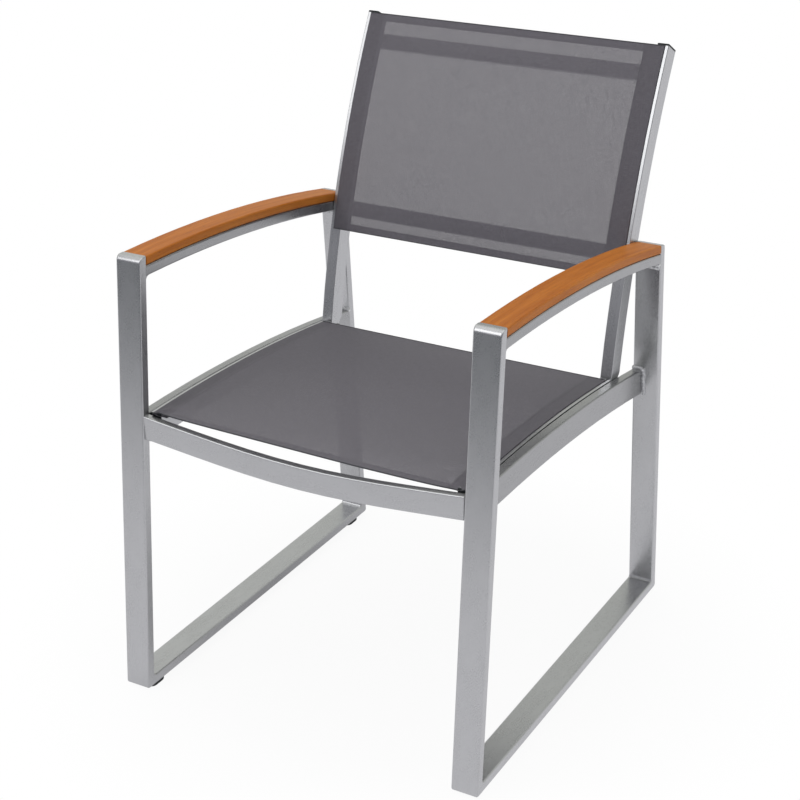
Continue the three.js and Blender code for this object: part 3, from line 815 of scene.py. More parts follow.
slot_x = RAIL_WIDE / 2 - SLOT_FROM_EDGE - SLOT_WIDE / 2
face_y = -RAIL_DEEP / 2
channel_y = face_y + SLOT_LIP + math.sqrt(CHANNEL_WIDE**2 - SLOT_WIDE**2) / 2
opening = math.asin(SLOT_WIDE / CHANNEL_WIDE)
channel = []
for step in range(CHANNEL_STEPS + 1):
    angle = -math.pi / 2 - opening - step / CHANNEL_STEPS * (2 * math.pi - 2 * opening)
    x = slot_x + CHANNEL_WIDE / 2 * math.cos(angle)
    channel.append((x, channel_y + CHANNEL_WIDE / 2 * math.sin(angle)))
lips = [(slot_x - SLOT_WIDE / 2, face_y), *channel, (slot_x + SLOT_WIDE / 2, face_y)]
plain_rail = rounded(RAIL_WIDE, RAIL_DEEP, RAIL_CORNER)
face_corner = 3 * (CORNER_STEPS + 1)
rail_outline = plain_rail[:face_corner] + lips + plain_rail[face_corner:]
bore_front = channel_y + CHANNEL_WIDE / 2 + RAIL_WALL
bore_back = RAIL_DEEP / 2 - RAIL_WALL
bore_x = RAIL_WIDE / 2 - RAIL_WALL
rail_bore = [(bore_x, bore_front), (-bore_x, bore_front), (-bore_x, bore_back), (bore_x, bore_back)]

post_rings = tube_rings("right_back_post", X, Z, RAIL_WIDE, RAIL_DEEP, CAD_RAIL_CORNER)
post = swept("right_back_rail", rail_outline, post_rings, rail_bore)
fix_pair(post, aluminium, "aluminium", "back_post")


def shortened(rings, start, end):
    """The stretch of a tube between two distances along it."""
    places = [0.0]
    for before, after in zip(rings, rings[1:]):
        places.append(places[-1] + (after[0] - before[0]).length)

    def at(distance):
        return tuple(
            Vector([np.interp(distance, places, [ring[part][i] for ring in rings]) for i in range(3)])
            for part in range(3)
        )

    inside = [ring for ring, place in zip(rings, places) if start < place < end]
    return [at(start), *inside, at(end)]


filler_long = stations("back_sling", X, Z)[0][0].z - post_rings[0][0].z
filler_inner = slot_x - SLOT_WIDE / 2 + FILLER_SLACK
filler_outer = slot_x + SLOT_WIDE / 2 - FILLER_SLACK
filler_outline = [
    (filler_outer, face_y + FILLER_SUNK),
    (filler_outer, face_y + SLOT_LIP),
    (filler_inner, face_y + SLOT_LIP),
    (filler_inner, face_y + FILLER_SUNK),
]
filler = swept("right_slot_strip", filler_outline, shortened(post_rings, FILLER_SUNK, filler_long))
fix_pair(filler, aluminium, "aluminium")
side_rings = tube_rings("right_seat_sling_rail", X, Y, RAIL_WIDE, RAIL_DEEP, CAD_RAIL_CORNER)
side_outline = [(min(x, RAIL_WIDE / 2 - SIDE_GAP), y) for x, y in rail_outline]
side_rail = swept("right_seat_rail", side_outline, side_rings, rail_bore)
fix_pair(side_rail, aluminium, "aluminium", "seat_sling_rail")


# Plastic fittings: caps on the posts, plugs in the seat rails' front ends and glides under the
# runners. Moulded black plastic with a fine texture and rounded edges.
CAP_THICK = 0.00295
CAP_SLACK = 0.0001
CAP_ROUND = 0.0012
CAP_STEPS = 5
PLUG_THICK = 0.0025
GLIDE_CORNER = 0.010
GLIDE_ROUND = 0.0014
PLASTIC = (0.014, 0.018, 0.019, 1)
PLASTIC_WORN = (0.030, 0.035, 0.036, 1)
PLASTIC_ROUGHNESS = 0.5
PLASTIC_RELIEF = 0.00005
SPECKLE_SCALES = (2200, 2200, 2200)
SPECKLE_UNEVEN = 0.1
SCUFF_SCALES = (90, 90, 90)
SCUFF_TONES = (0.5, 0.75)
SCUFF_UNEVEN = 0.15

black_plastic = Finish("Moulded plastic")
plastic_place = black_plastic.add("ShaderNodeTexCoord", {}, {}, "Object")
speckle = black_plastic.noise(plastic_place, SPECKLE_SCALES)
scuffs = black_plastic.noise(plastic_place, SCUFF_SCALES, 4.0, 0.6).between(*SCUFF_TONES)
black_plastic.dress(
    base_color=black_plastic.blend(scuffs, PLASTIC, PLASTIC_WORN),
    roughness=PLASTIC_ROUGHNESS + scuffs * SCUFF_UNEVEN + (speckle - 0.5) * SPECKLE_UNEVEN,
    normal=black_plastic.relief(speckle, PLASTIC_RELIEF, SOFT_RELIEF),
    specular_ior_level=DULL_SHINE,
)


def lid(name, ring, outwards, size, corner, thick, edge):
    """A flat plastic lid on a ring, with its outer edge rounded."""
    origin, across, through = ring
    wide, deep = size
    through = through.normalized()
    rings = [(origin, across, through)]
    for step in range(CAP_STEPS + 1):
        height = edge * math.cos(step / CAP_STEPS * math.pi / 2)
        inset = rounding(height, edge)
        level = origin + outwards * (thick - height)
        rings.append((level, across * (1 - 2 * inset / wide), through * (1 - 2 * inset / deep)))
    return swept(name, rounded(wide, deep, corner), rings)


post_end = post_rings[-1]
post_up = X.cross(post_end[2]).normalized()
post_lid_ring = (post_end[0] + post_up * CLOSED_GAP, X, post_end[2])
cap_size = (RAIL_WIDE, RAIL_DEEP - 2 * CAP_SLACK)
cap = lid("right_post_lid", post_lid_ring, post_up, cap_size, RAIL_CORNER, CAP_THICK, CAP_ROUND)
fix_pair(cap, black_plastic.material, "black_plastic", "post_cap")

rail_start = side_rings[0]
rail_front = rail_start[2].cross(X).normalized()
plug_ring = (rail_start[0] + rail_front * CLOSED_GAP, X, rail_start[2])
plug_size = (RAIL_WIDE, RAIL_DEEP)
plug = lid("right_rail_end", plug_ring, rail_front, plug_size, RAIL_CORNER, PLUG_THICK, CAP_ROUND)
fix_pair(plug, black_plastic.material, "black_plastic", "rail_plug")

for end in ("front", "rear"):
    low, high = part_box(f"right_{end}_glide")
    middle = (low + high) / 2
    name = f"right_{end}_floor_glide"
    top = (Vector((middle.x, middle.y, runner_low.z)), X, Y)
    glide_size = (high.x - low.x, high.y - low.y)
    glide = lid(name, top, -Z, glide_size, GLIDE_CORNER, runner_low.z, GLIDE_ROUND)
    fix_pair(glide, black_plastic.material, "black_plastic", f"{end}_glide")


# Back spreaders: short flat bars that hold the posts apart behind the cloth, where they show as
# darker bands. The same satin aluminium, with its grain along each bar.
def polished(node, name):
    """A copy of a plain solid with its loose corners joined and its edges shaded evenly."""
    shell = bmesh.new()
    shell.from_mesh(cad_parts[node].data)
    bmesh.ops.remove_doubles(shell, verts=shell.verts, dist=FACE_SLACK)
    shell.verts.index_update()
    points = [v.co.copy() for v in shell.verts]
    faces = [tuple(v.index for v in face.verts) for face in shell.faces]
    shell.free()
    return new_piece(name, points, faces, [tuple(p) for p in points])


for height in ("upper", "lower"):
    spreader = polished(f"{height}_back_spreader", f"{height}_back_bar")
    fix(spreader, aluminium, "aluminium", f"{height}_back_spreader")


# Cloth: coated yarn woven with small open squares, so that light comes through it. Its side hems
# are doubled over a cord and slide into the slots, wider ones on the back than on the seat. Its ends
# are folded under and sewn flat.
CLOTH_THICK = 0.0002
LAYER_GAP = 0.00008
YARN_PITCH = 0.0014
YARN_COVER = 0.60
YARN_UNEVEN = 0.36
YARN_SOFTNESS = 0.08
YARN_RELIEF = 0.0002
WARP_SCALES = (900, 250, 1)
WEFT_SCALES = (250, 900, 1)
WARP_SLUB_SCALES = (900, 90, 30)
WEFT_SLUB_SCALES = (90, 900, 30)
SLUB_TONES = (0.33, 0.67)
LAYER_SHIFT = 0.5
CLOTH_ROUGHNESS = 0.62
CLOTH_UNEVEN = 0.2
BACK_HEM = 0.0300
SEAT_HEM = 0.0245
HEM_EDGE = stations("seat_sling", X, Y)[0][0].x
HEM_PAINTED_SHADE = 0.13
HEM_SHADE_FADE = 0.003
HEM_STEPS = 8
END_HEM_STEPS = 2
BLACK = (0, 0, 0, 1)
END_HEM = 0.011
SLOT_REACH = 0.0045
EDGE_BEND = 0.0009
BEND_SHARE_STEPS = 4
FINE_REACH = 0.038
FINE_STEPS = 24
COARSE_STEPS = 26
FOLD_ROUND = 0.0010
FOLD_OUT_SHARE = 0.7
FOLD_STEPS = 10
TOP_REACH = 0.0004
FRONT_REACH = 0.0045
DROOP_REACH = 0.055
DROOP_STARTS = -0.20
DROOP_FULL = 0.08
CREASE_START = 0.004
CREASE_REACH = 0.020
CREASE_RISE = 0.005
CREASE_WAVES = 9
CREASE_TURN = 0.9
END_SAG_SHARE = 0.35
MIDDLE_SAG_SHARE = 0.65
EDGE_HOLD = 12
SEAT_SAG = 0.0012
SEAT_DROOP = 0.0040
SEAT_CREASE = 0.0045
CLOTH_DARK = (0.138, 0.130, 0.148, 1)
CLOTH_LIGHT = (0.194, 0.183, 0.207, 1)
FOLD_DARK = (0.048, 0.050, 0.055, 1)
FOLD_LIGHT = (0.080, 0.082, 0.090, 1)


def woven(name, dark, light, cover, hem):
    """Square open weave. Where neither yarn passes, the cloth is open. The doubled hems get painted
    shade.
    """
    finish = Finish(name)
    run = finish.run()
    parts = finish.parts(run)
    along = parts[0] / YARN_PITCH
    across = parts[1] / YARN_PITCH
    layer = parts[2] * LAYER_SHIFT
    warp = abs(finish.add("ShaderNodeMath", {"operation": "FRACT"}, [across + layer]) - 0.5) * 2
    weft = abs(finish.add("ShaderNodeMath", {"operation": "FRACT"}, [along + layer]) - 0.5) * 2
    yarn = finish.add("ShaderNodeMath", {"operation": "MINIMUM"}, [warp, weft])
    warp_thick = finish.noise(run, WARP_SCALES, detail=1.0)
    weft_thick = finish.noise(run, WEFT_SCALES, detail=1.0)
    thickness = warp_thick * 0.5 + weft_thick * 0.5
    edge = cover + (thickness - 0.5) * YARN_UNEVEN
    mask = 1 - yarn.between(edge, edge + YARN_SOFTNESS)
    warp_slubs = finish.noise(run, WARP_SLUB_SCALES)
    weft_slubs = finish.noise(run, WEFT_SLUB_SCALES)
    slubs = warp_slubs * 0.5 + weft_slubs * 0.5
    # Painted shade: the hems' base colour is darkened, for the light that can't come through two
    # layers.
    doubled = abs(parts[1]).between(HEM_EDGE - hem, HEM_EDGE - hem + HEM_SHADE_FADE)
    yarn_shade = finish.blend(slubs.between(*SLUB_TONES), dark, light)
    finish.dress(
        base_color=finish.blend(doubled * HEM_PAINTED_SHADE, yarn_shade, BLACK),
        roughness=CLOTH_ROUGHNESS + (slubs - 0.5) * CLOTH_UNEVEN,
        alpha=mask,
        normal=finish.relief(1 - yarn, YARN_RELIEF, SOFT_RELIEF),
    )
    return finish.material


back_cloth = woven("Woven back cloth", CLOTH_DARK, CLOTH_LIGHT, YARN_COVER, BACK_HEM)
seat_cloth = woven("Woven seat cloth", CLOTH_DARK, CLOTH_LIGHT, YARN_COVER, SEAT_HEM)
folded_cloth = woven("Folded cloth", FOLD_DARK, FOLD_LIGHT, 1.0, BACK_HEM)


def spaced(start, end, steps):
    return [start + (end - start) * i / steps for i in range(steps + 1)]


def unevenly_spaced(start, end):
    """Close together near both ends, where the cloth creases, and wide apart between them."""
    near = spaced(start, start + FINE_REACH, FINE_STEPS)
    far = spaced(end - FINE_REACH, end, FINE_STEPS)
    return near + spaced(near[-1], far[0], COARSE_STEPS)[1:-1] + far


class Sling:
    """A cloth stretched between two slotted rails. Rows follow the rails and columns cross them."""

    def __init__(self, word, node, run, sag, droop, crease, start, beyond):
        pairs = stations(node, X, run)
        self.word = word
        self.fronts = [Vector((0, first.y, first.z)) for first, _ in pairs]
        self.backs = [(second - first).normalized() for first, second in pairs]
        self.edge = pairs[0][0].x
        self.places = [0.0]
        for before, after in zip(self.fronts, self.fronts[1:]):
            self.places.append(self.places[-1] + (after - before).length)
        self.start = start
        self.end = self.places[-1] + beyond
        self.sag = sag
        self.droop = droop
        self.crease = crease

    def creases(self, x, length):
        """Small raised folds that run in from the corners at the start of the cloth."""
        inwards, along = self.edge - abs(x), length - self.start
        reach = math.hypot(inwards, along)
        turn = math.atan2(along + CREASE_START, inwards + CREASE_START)
        fade = math.exp(-reach / CREASE_REACH) * min(1.0, reach / CREASE_RISE)
        right_turn = CREASE_TURN if x > 0 else 0.0
        return -self.crease * fade * (0.5 + 0.5 * math.sin(turn * CREASE_WAVES + right_turn))

    def front_droop(self, x, length):
        """The cloth's front hangs down a little, more on the right."""
        share = (x - DROOP_STARTS) / (DROOP_FULL - DROOP_STARTS)
        near = 1 - (length - self.start) / DROOP_REACH
        return self.droop * min(1.0, max(0.0, share)) * max(0.0, near) ** 2

    def at(self, x, length, depth):
        """A place on the cloth: across the chair, along the rails and down into the cloth."""
        place = min(max(length, 0.0), self.places[-1])
        front = Vector([np.interp(place, self.places, [p[i] for p in self.fronts]) for i in range(3)])
        back = Vector([np.interp(place, self.places, [p[i] for p in self.backs]) for i in range(3)])
        back.normalize()
        beyond = X.cross(back) * (length - place)
        wide = 1 - min(1.0, abs(x) / self.edge) ** 2
        deep = math.sin(math.pi * min(1.0, max(0.0, length / self.end)))
        loose = self.creases(x, length) + self.front_droop(x, length)
        sagging = self.sag * wide * (END_SAG_SHARE + MIDDLE_SAG_SHARE * deep)
        hollow = sagging + loose * min(1.0, EDGE_HOLD * wide)
        return front + X * x + back * (depth + hollow) + beyond

    def layer(self, name, path, rows, layer):
        """One thickness of cloth. The path gives its upper side, as places across and depths."""
        under = []
        for i, (x, depth) in enumerate(path):
            before, after = path[max(0, i - 1)], path[min(len(path) - 1, i + 1)]
            step = Vector((after[0] - before[0], after[1] - before[1])).normalized()
            under.append((x - step.y * CLOTH_THICK, depth + step.x * CLOTH_THICK))
        loop = [*path, *reversed(under)]
        flat = [0.0]
        for before, after in zip(path, path[1:]):
            flat.append(flat[-1] + math.dist(before, after))
        across = [value + path[0][0] for value in flat]
        across += reversed(across)
        points, runs, faces = [], [], []
        for length in rows:
            for (x, depth), place in zip(loop, across):
                points.append(self.at(x, length, depth))
                runs.append((length, place, layer))
        count = len(loop)
        for row in range(len(rows) - 1):
            for i in range(count):
                a, b = row * count + i, row * count + (i + 1) % count
                faces.append((a, b, b + count, a + count))
        last = (len(rows) - 1) * count
        for i in range(len(path) - 1):
            a, b, c, d = i, i + 1, count - 2 - i, count - 1 - i
            faces += [(a, b, c, d), (last + d, last + c, last + b, last + a)]
        self.flat_wide = flat[-1]
        return new_piece(f"{self.word}_{name}", points, faces, runs)

    def hooked(self, top):
        """The right-hand end of a path, bent down into the slot of the rail."""
        edge = self.edge - top
        bend = EDGE_BEND
        path = []
        for step in range(BEND_SHARE_STEPS + 1):
            angle = step / BEND_SHARE_STEPS * math.pi / 2
            path.append((edge - bend + bend * math.sin(angle), top + bend - bend * math.cos(angle)))
        return [*path, (edge, SLOT_REACH)]

    def fold(self, name, x_reach, length, outwards, middle):
        """The rounded edge where an end of the cloth is folded under."""
        places = unevenly_spaced(-x_reach, x_reach)
        points, runs, faces = [], [], []
        for x in places:
            for step in range(FOLD_STEPS):
                angle = step / FOLD_STEPS * 2 * math.pi
                beyond = length + outwards * FOLD_ROUND * FOLD_OUT_SHARE * math.cos(angle)
                points.append(self.at(x, beyond, middle + FOLD_ROUND * math.sin(angle)))
                runs.append((length + FOLD_ROUND * angle, x, 1))
        for row in range(len(places) - 1):
            for i in range(FOLD_STEPS):
                a, b = row * FOLD_STEPS + i, row * FOLD_STEPS + (i + 1) % FOLD_STEPS
                faces.append((a, b, b + FOLD_STEPS, a + FOLD_STEPS))
        last = (len(places) - 1) * FOLD_STEPS
        faces += [tuple(range(FOLD_STEPS)), tuple(last + i for i in reversed(range(FOLD_STEPS)))]
        return new_piece(f"{self.word}_{name}", points, faces, runs)


STITCH_SPACING = 0.0034
STITCH_LONG = 0.0024
STITCH_WIDE = 0.0005
SEAM_FROM_EDGE = 0.0022
THREAD_DARK = (0.075, 0.07, 0.08, 1)
THREAD_LIGHT = (0.17, 0.16, 0.185, 1)
TWIST_SCALES = (2600, 2600, 2600)
STITCH_SMALLEST = Vector((0.9, 0.9, 0.9))
STITCH_LARGEST = Vector((1.05, 1.1, 1.1))
STITCH_SEED = 7

thread = Finish("Sewing thread")
thread_place = thread.add("ShaderNodeTexCoord", {}, {}, "Object")
twist = thread.noise(thread_place, TWIST_SCALES)
thread.dress(base_color=thread.blend(twist, THREAD_DARK, THREAD_LIGHT), roughness=0.5)
stitch = ball("stitch", 6, 5, (STITCH_LONG, STITCH_WIDE, STITCH_WIDE))


def make_sling(word, node, run, cloth, hem, sag=0.0, droop=0.0, crease=0.0, start=0.0, beyond=0.0):
    """A cloth with its side hems, end hems, folds and seams, held by the two rails beside it."""
    sling = Sling(word, node, run, sag, droop, crease, start, beyond)
    edge = sling.edge
    rows = unevenly_spaced(sling.start, sling.end)
    right_end = sling.hooked(0.0)
    left_end = [(-x, depth) for x, depth in reversed(right_end)]
    flat = unevenly_spaced(left_end[-1][0], right_end[0][0])[1:-1]
    main = sling.layer("cloth", [*left_end, *((x, 0.0) for x in flat), *right_end], rows, 0)
    under = CLOTH_THICK + LAYER_GAP
    hem_places = spaced(edge - hem, edge - under - EDGE_BEND, HEM_STEPS)
    hem_flat = [(x, under) for x in hem_places[:-1]]
    side_hem = sling.layer("right_side_hem", [*hem_flat, *sling.hooked(under)], rows, 1)
    side_hem.name = f"right_{word}_hem"
    extras = [*fix_pair(side_hem, cloth, "grey_mesh")]
    inner = edge - hem - LAYER_GAP
    slack = edge - EDGE_BEND
    for end, place, outwards in (("first", sling.start, -1), ("last", sling.end, 1)):
        low, high = sorted((place, place - outwards * END_HEM))
        end_path = [(x, under) for x in unevenly_spaced(-inner, inner)]
        end_hem = sling.layer(f"{end}_hem", end_path, spaced(low, high, END_HEM_STEPS), 1)
        extras.append(fix(end_hem, cloth, "grey_mesh"))
        folded = sling.fold(f"{end}_fold", slack, place, outwards, CLOTH_THICK + LAYER_GAP / 2)
        extras.append(fix(folded, folded_cloth, "grey_mesh"))
    seams = []
    for side in (1, -1):
        x = side * (edge - hem + SEAM_FROM_EDGE)
        seams.append([sling.at(x, length, 0.0) for length in rows])
    for length in (sling.start + END_HEM - SEAM_FROM_EDGE, sling.end - END_HEM + SEAM_FROM_EDGE):
        places = unevenly_spaced(-inner, inner)
        seams.append([sling.at(x, length, 0.0) for x in places])
    inputs = {
        "Spacing": STITCH_SPACING,
        "Pattern": stitch,
        "Smallest": STITCH_SMALLEST,
        "Largest": STITCH_LARGEST,
        "Seed": STITCH_SEED,
        "Material": thread.material,
    }
    seam = grown(f"{word}_stitches", along_path, paths_mesh(seams), inputs)
    extras.append(fix(seam, thread.material, "grey_mesh"))
    fix(main, cloth, "grey_mesh", node)


make_sling("back", "back_sling", Z, back_cloth, BACK_HEM, beyond=TOP_REACH)
loose = {"sag": SEAT_SAG, "droop": SEAT_DROOP, "crease": SEAT_CREASE}
make_sling("seat", "seat_sling", Y, seat_cloth, SEAT_HEM, **loose, start=-FRONT_REACH)


# Edge cords: smooth white cords inside the hems. They fill the round channels, so that the cloth
# can't pull out of the slots.
CORD_DARK = (0.55, 0.54, 0.5, 1)
CORD_LIGHT = (0.72, 0.71, 0.67, 1)
FUZZ_SCALES = (700, 700, 700)

edge_cord = Finish("Edge cord")
cord_place = edge_cord.add("ShaderNodeTexCoord", {}, {}, "Object")
fuzz = edge_cord.noise(cord_place, FUZZ_SCALES)
edge_cord.dress(base_color=edge_cord.blend(fuzz, CORD_DARK, CORD_LIGHT), roughness=0.6)

for side in ("right", "left"):
    for part in ("back", "seat"):
        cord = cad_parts[f"{side}_{part}_edge_cord"]
        cord.data.materials.clear()
        cord.data.materials.append(edge_cord.material)


# Bolts and screws: plated steel. Round-headed bolts with a hexagon socket hold the rails and posts
# to the stretchers, and cross-headed screws hold the arm pads from below.
HEAD_STEPS = 24
SOCKET_DEEP = 0.0016
SOCKET_WIDE_SHARE = 0.24
SOCKET_FLOOR_SHARE = 0.9
CROSS_ARM_TURN = 0.2
CROSS_MIDDLE_SHARE = 0.42
BOLT_HEAD_WIDE = 0.011
BOLT_HEAD_TALL = 0.003
SCREW_HEAD_WIDE = 0.008
SCREW_HEAD_TALL = 0.0022
STEEL_DARK = (0.42, 0.42, 0.43, 1)
STEEL_LIGHT = (0.60, 0.60, 0.62, 1)
STEEL_ROUGHNESS = 0.25
POINT_INPUTS = {
    "Geometry": "NodeSocketGeometry",
    "Pattern": "NodeSocketObject",
    "Material": "NodeSocketMaterial",
}

plated_steel = satin_metal("Plated steel", STEEL_DARK, STEEL_LIGHT, STEEL_ROUGHNESS)


def point_tree():
    """A copy of a pattern at each point, turned so that its Z faces the way the point says."""
    tree, given = growing_tree("Pattern at points", POINT_INPUTS)
    named = {"data_type": "FLOAT_VECTOR"}
    facing = tree.add("GeometryNodeInputNamedAttribute", named, {"Name": "facing"})
    turn = tree.add("FunctionNodeAlignRotationToVector", {"axis": "Z"}, {"Vector": facing})
    pattern = tree.add("GeometryNodeObjectInfo", {}, {"Object": given("Pattern")}, "Geometry")
    copies = {"Points": given("Geometry"), "Instance": pattern, "Rotation": turn}
    return finish_growing(tree, given, tree.add("GeometryNodeInstanceOnPoints", {}, copies))


def turned(name, profile, recess):
    """A fastener along Z with its head down. The recess is an outline sunk into the head."""
    shape = bmesh.new()
    rings = []
    for radius, height in profile:
        ring = []
        for step in range(HEAD_STEPS):
            angle = step / HEAD_STEPS * 2 * math.pi
            ring.append(shape.verts.new((radius * math.cos(angle), radius * math.sin(angle), height)))
        rings.append(ring)
    for low, high in zip(rings, rings[1:]):
        for i in range(HEAD_STEPS):
            j = (i + 1) % HEAD_STEPS
            shape.faces.new((low[i], low[j], high[j], high[i]))
    shape.faces.new(rings[-1])
    level = profile[0][1]
    rim = [shape.verts.new((x, y, level)) for x, y in recess]
    narrow = SOCKET_FLOOR_SHARE
    floor = [shape.verts.new((x * narrow, y * narrow, level + SOCKET_DEEP)) for x, y in recess]
    for i in range(HEAD_STEPS):
        j = (i + 1) % HEAD_STEPS
        shape.faces.new((rings[0][j], rings[0][i], rim[i], rim[j]))
        shape.faces.new((rim[j], rim[i], floor[i], floor[j]))
    shape.faces.new(floor)
    bmesh.ops.recalc_face_normals(shape, faces=shape.faces)
    mesh = bpy.data.meshes.new(name)
    shape.to_mesh(mesh)
    shape.free()
    return bpy.data.objects.new(name, mesh)


def recess_outline(reach, cross):
    """A hexagon, or a cross with blunt arms, with as many points as the head has steps."""
    outline = []
    for step in range(HEAD_STEPS):
        angle = step / HEAD_STEPS * 2 * math.pi
        sides = 4 if cross else 6
        turn = (angle + math.pi / sides) % (2 * math.pi / sides) - math.pi / sides
        if not cross:
            radius = reach / math.cos(turn)
        elif abs(turn) < CROSS_ARM_TURN:
            radius = reach
        else:
            radius = reach * CROSS_MIDDLE_SHARE
        outline.append((radius * math.cos(angle), radius * math.sin(angle)))
    return outline


def fastener_axis(node, towards):
    """Where a plain fastener's head ends, the way it points, and how long it is."""
    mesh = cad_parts[node].data
    points = np.array([tuple(v.co) for v in mesh.vertices])
    middle = (points.max(0) + points.min(0)) / 2
    axis = np.linalg.svd(points - points.mean(0))[2][0]
    axis *= np.sign(axis @ np.array(towards))
    reach = (points - middle) @ axis
    return Vector(middle + axis * reach.min()), Vector(axis), float(np.ptp(reach))


at_points = point_tree()


def fasteners(name, nodes, towards, profile_shares, head_wide, head_tall, cross):
    places = [fastener_axis(node, towards) for node in nodes]
    long = places[0][2]
    profile = [(wide * head_wide / 2, tall * head_tall) for wide, tall in profile_shares[:-1]]
    profile.append((profile_shares[-1][0] * head_wide / 2, long))
    recess = recess_outline(head_wide * SOCKET_WIDE_SHARE, cross)
    pattern = turned(name + "_pattern", profile, recess)
    mesh = bpy.data.meshes.new(name + "_points")
    mesh.from_pydata([tuple(place) for place, _, _ in places], [], [])
    facing = mesh.attributes.new("facing", "FLOAT_VECTOR", "POINT")
    facing.data.foreach_set("vector", np.array([tuple(axis) for _, axis, _ in places]).ravel())
    piece = grown(name, at_points, mesh, {"Pattern": pattern, "Material": plated_steel})
    bpy.data.objects.remove(pattern)
    return piece


BOLT_SHARES = ((0.62, 0.0), (0.84, 0.22), (1.0, 0.62), (1.0, 1.0), (0.54, 1.0), (0.54, 1.0))
SCREW_SHARES = ((0.55, 0.0), (0.85, 0.3), (1.0, 0.8), (1.0, 1.0), (0.5, 1.0), (0.4, 1.0))
bolt_nodes = ["post_bolt_1", "post_bolt_2", "rail_bolt_1", "rail_bolt_2"]
right_bolts = ["right_" + node for node in bolt_nodes]
bolts = fasteners(
    "right_frame_bolts", right_bolts, X, BOLT_SHARES, BOLT_HEAD_WIDE, BOLT_HEAD_TALL, cross=False
)
fix_pair(bolts, plated_steel, "steel", *bolt_nodes)
screw_nodes = ["pad_screw_1", "pad_screw_2", "pad_screw_3"]
right_screws = ["right_" + node for node in screw_nodes]
screws = fasteners(
    "right_pad_screws", right_screws, Z, SCREW_SHARES, SCREW_HEAD_WIDE, SCREW_HEAD_TALL, cross=True
)
fix_pair(screws, plated_steel, "steel", *screw_nodes)
bpy.data.objects.remove(stitch)
bpy.data.objects.remove(ripple)


# Floor and light: a white floor and room, with one large soft box in front, to the left. What the
# metal mirrors of them is graded, so that the legs shade upwards: the floor's glow carries a painted
# shadow under the seat and a painted fade far out in front, and the room is darker low down.
FLOOR_REACH = 14.0
FLOOR_WHITE = (0.99, 0.99, 0.99, 1)
WHITE = (1, 1, 1, 1)
SHADOW_SHARE = 0.08
SHADOW_NEAR = 0.35
SHADOW_FAR = 0.62
GLOW_NEAR = -1.08
GLOW_FAR = -2.2
GLOW_BRIGHT = (0.80, 0.795, 0.825, 1)
GLOW_DIM = (0.12, 0.13, 0.145, 1)
SHADE_MIDDLE = (-0.14, 0.0, 0)
SHADE_REACH = (0.24, 0.42, 1)
SHADE_EDGES = (0.4, 1.2)
SHADE_LEFT = 0.5
ROOM_FRONT = (0.30, 0.30, 0.33, 1)
ROOM_BACK = (0.58, 0.59, 0.56, 1)
ROOM_LEFT = (0.86, 0.87, 0.84, 1)
ROOM_TOP = (1.22, 1.22, 1.22, 1)
LEFT_EDGES = (-0.36, -0.8)
BACK_EDGES = (-0.45, 0.45)
TOP_EDGES = (0.64, 0.97)
CHAIR_MIDDLE = Vector((0, 0, 0.5))
SOFT_BOX_PLACE = Vector((-1.6, -2.9, 3.0))
SOFT_BOX_WIDE = 2.4
SOFT_BOX_TALL = 2.2
SOFT_BOX_BRIGHT = 1.95

floor_mesh = bpy.data.meshes.new("floor")
corners = [(-1, -1), (1, -1), (1, 1), (-1, 1)]
floor_mesh.from_pydata([(x * FLOOR_REACH, y * FLOOR_REACH, 0) for x, y in corners], [], [(0, 1, 2, 3)])
floor = bpy.data.objects.new("floor", floor_mesh)
bpy.context.scene.collection.objects.link(floor)


def seen_directly(tree):
    """1 for what the camera sees, also through cloth, and 0 for light that falls on the chair."""
    camera_ray = tree.add("ShaderNodeLightPath", {}, {}, "Is Camera Ray")
    through_ray = tree.add("ShaderNodeLightPath", {}, {}, "Is Transmission Ray")
    return tree.add("ShaderNodeMath", {"operation": "MAXIMUM"}, [camera_ray, through_ray])


def reckoned(tree, operation, vectors, output=0):
    return tree.add("ShaderNodeVectorMath", {"operation": operation}, vectors, output)


floor_finish = Finish("White floor")
floor_finish.dress(base_color=FLOOR_WHITE, roughness=0.9, specular_ior_level=0.1)
floor_place = floor_finish.add("ShaderNodeTexCoord", {}, {}, "Object")
middle_distance = reckoned(floor_finish, "LENGTH", [floor_place], "Value")
# Painted shadow and painted fade: reflections see the floor's glow darker under the seat and far out in
# front.
fade = floor_finish.parts(floor_place)[1].between(GLOW_NEAR, GLOW_FAR)
from_shade = reckoned(floor_finish, "SUBTRACT", [floor_place, SHADE_MIDDLE])
in_reach = reckoned(floor_finish, "DIVIDE", [from_shade, SHADE_REACH])
shade_distance = reckoned(floor_finish, "LENGTH", [in_reach], "Value")
under_chair = (1 - shade_distance.between(*SHADE_EDGES)) * SHADE_LEFT
open_glow = floor_finish.blend(fade, GLOW_BRIGHT, GLOW_DIM)
glow = floor_finish.blend(under_chair, open_glow, BLACK)
direct = seen_directly(floor_finish)
glossy = floor_finish.add("ShaderNodeLightPath", {}, {}, "Is Glossy Ray")
shade_share = SHADOW_SHARE * (1 - middle_distance.between(SHADOW_NEAR, SHADOW_FAR))
seen_glow = floor_finish.blend(direct, glow, WHITE)
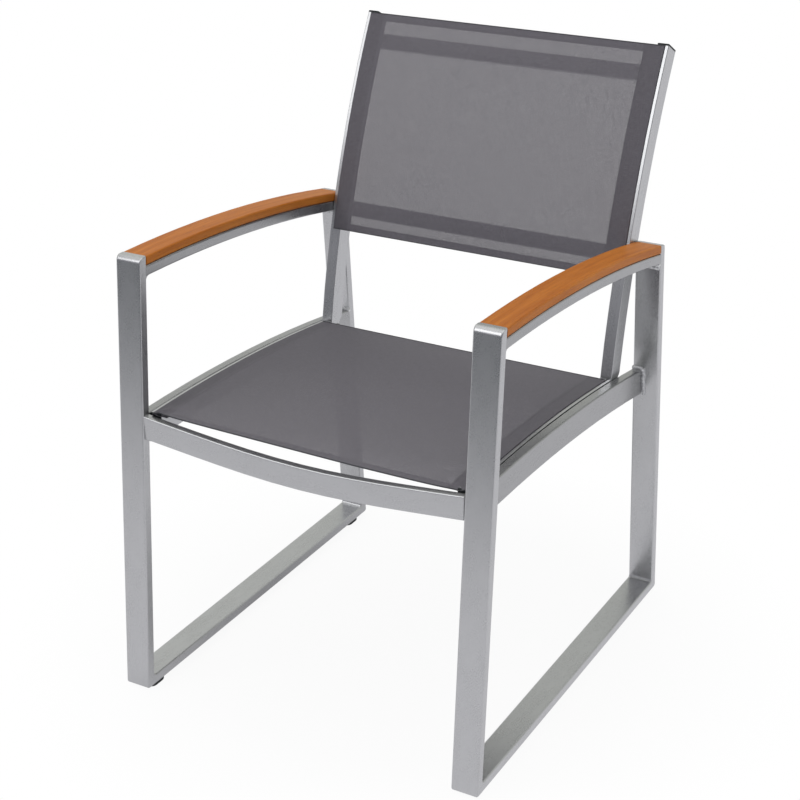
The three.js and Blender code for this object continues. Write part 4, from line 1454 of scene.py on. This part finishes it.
floor_glow = floor_finish.add("ShaderNodeEmission", {}, {"Color": seen_glow, "Strength": 1.0})
lit_floor = Wire(floor_finish, floor_finish.skin.outputs[0])
either = floor_finish.add("ShaderNodeMath", {"operation": "MAXIMUM"}, [direct, glossy])
glow_share = either * (1 - shade_share)
floor_look = floor_finish.add("ShaderNodeMixShader", {}, [glow_share, lit_floor, floor_glow])
floor_surface = floor_finish.tree.nodes["Material Output"].inputs["Surface"]
floor_finish.tree.links.new(floor_look.socket, floor_surface)
floor.data.materials.append(floor_finish.material)
floor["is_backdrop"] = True

world = bpy.data.worlds.new("Studio")
bpy.context.scene.world = world
world.use_nodes = True
world.node_tree.nodes.clear()
studio = Tree(world.node_tree)
ray = studio.parts(studio.add("ShaderNodeTexCoord", {}, {}, "Generated"))
back_room = studio.blend(ray[0].between(*LEFT_EDGES), ROOM_BACK, ROOM_LEFT)
low_room = studio.blend(ray[1].between(*BACK_EDGES), ROOM_FRONT, back_room)
room_colour = studio.blend(ray[2].between(*TOP_EDGES), low_room, ROOM_TOP)
room = studio.add("ShaderNodeBackground", {}, {"Color": room_colour, "Strength": 1.0})
white = studio.add("ShaderNodeBackground", {}, {"Color": WHITE, "Strength": 1.0})
sky = studio.add("ShaderNodeMixShader", {}, [seen_directly(studio), room, white])
studio.add("ShaderNodeOutputWorld", {}, {"Surface": sky}, None)

# The soft box's brightness is what a mirror would show of it.
lamp = bpy.data.lights.new("Front soft box", "AREA")
lamp.shape = "RECTANGLE"
lamp.size = SOFT_BOX_WIDE
lamp.size_y = SOFT_BOX_TALL
lamp.energy = SOFT_BOX_BRIGHT * math.pi * SOFT_BOX_WIDE * SOFT_BOX_TALL
holder = bpy.data.objects.new("Front soft box", lamp)
holder.location = SOFT_BOX_PLACE
towards_chair = CHAIR_MIDDLE - SOFT_BOX_PLACE
holder.rotation_euler = towards_chair.to_track_quat("-Z", "Y").to_euler()
bpy.context.scene.collection.objects.link(holder)

bpy.context.scene.view_settings.view_transform = "Standard"

low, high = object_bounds()
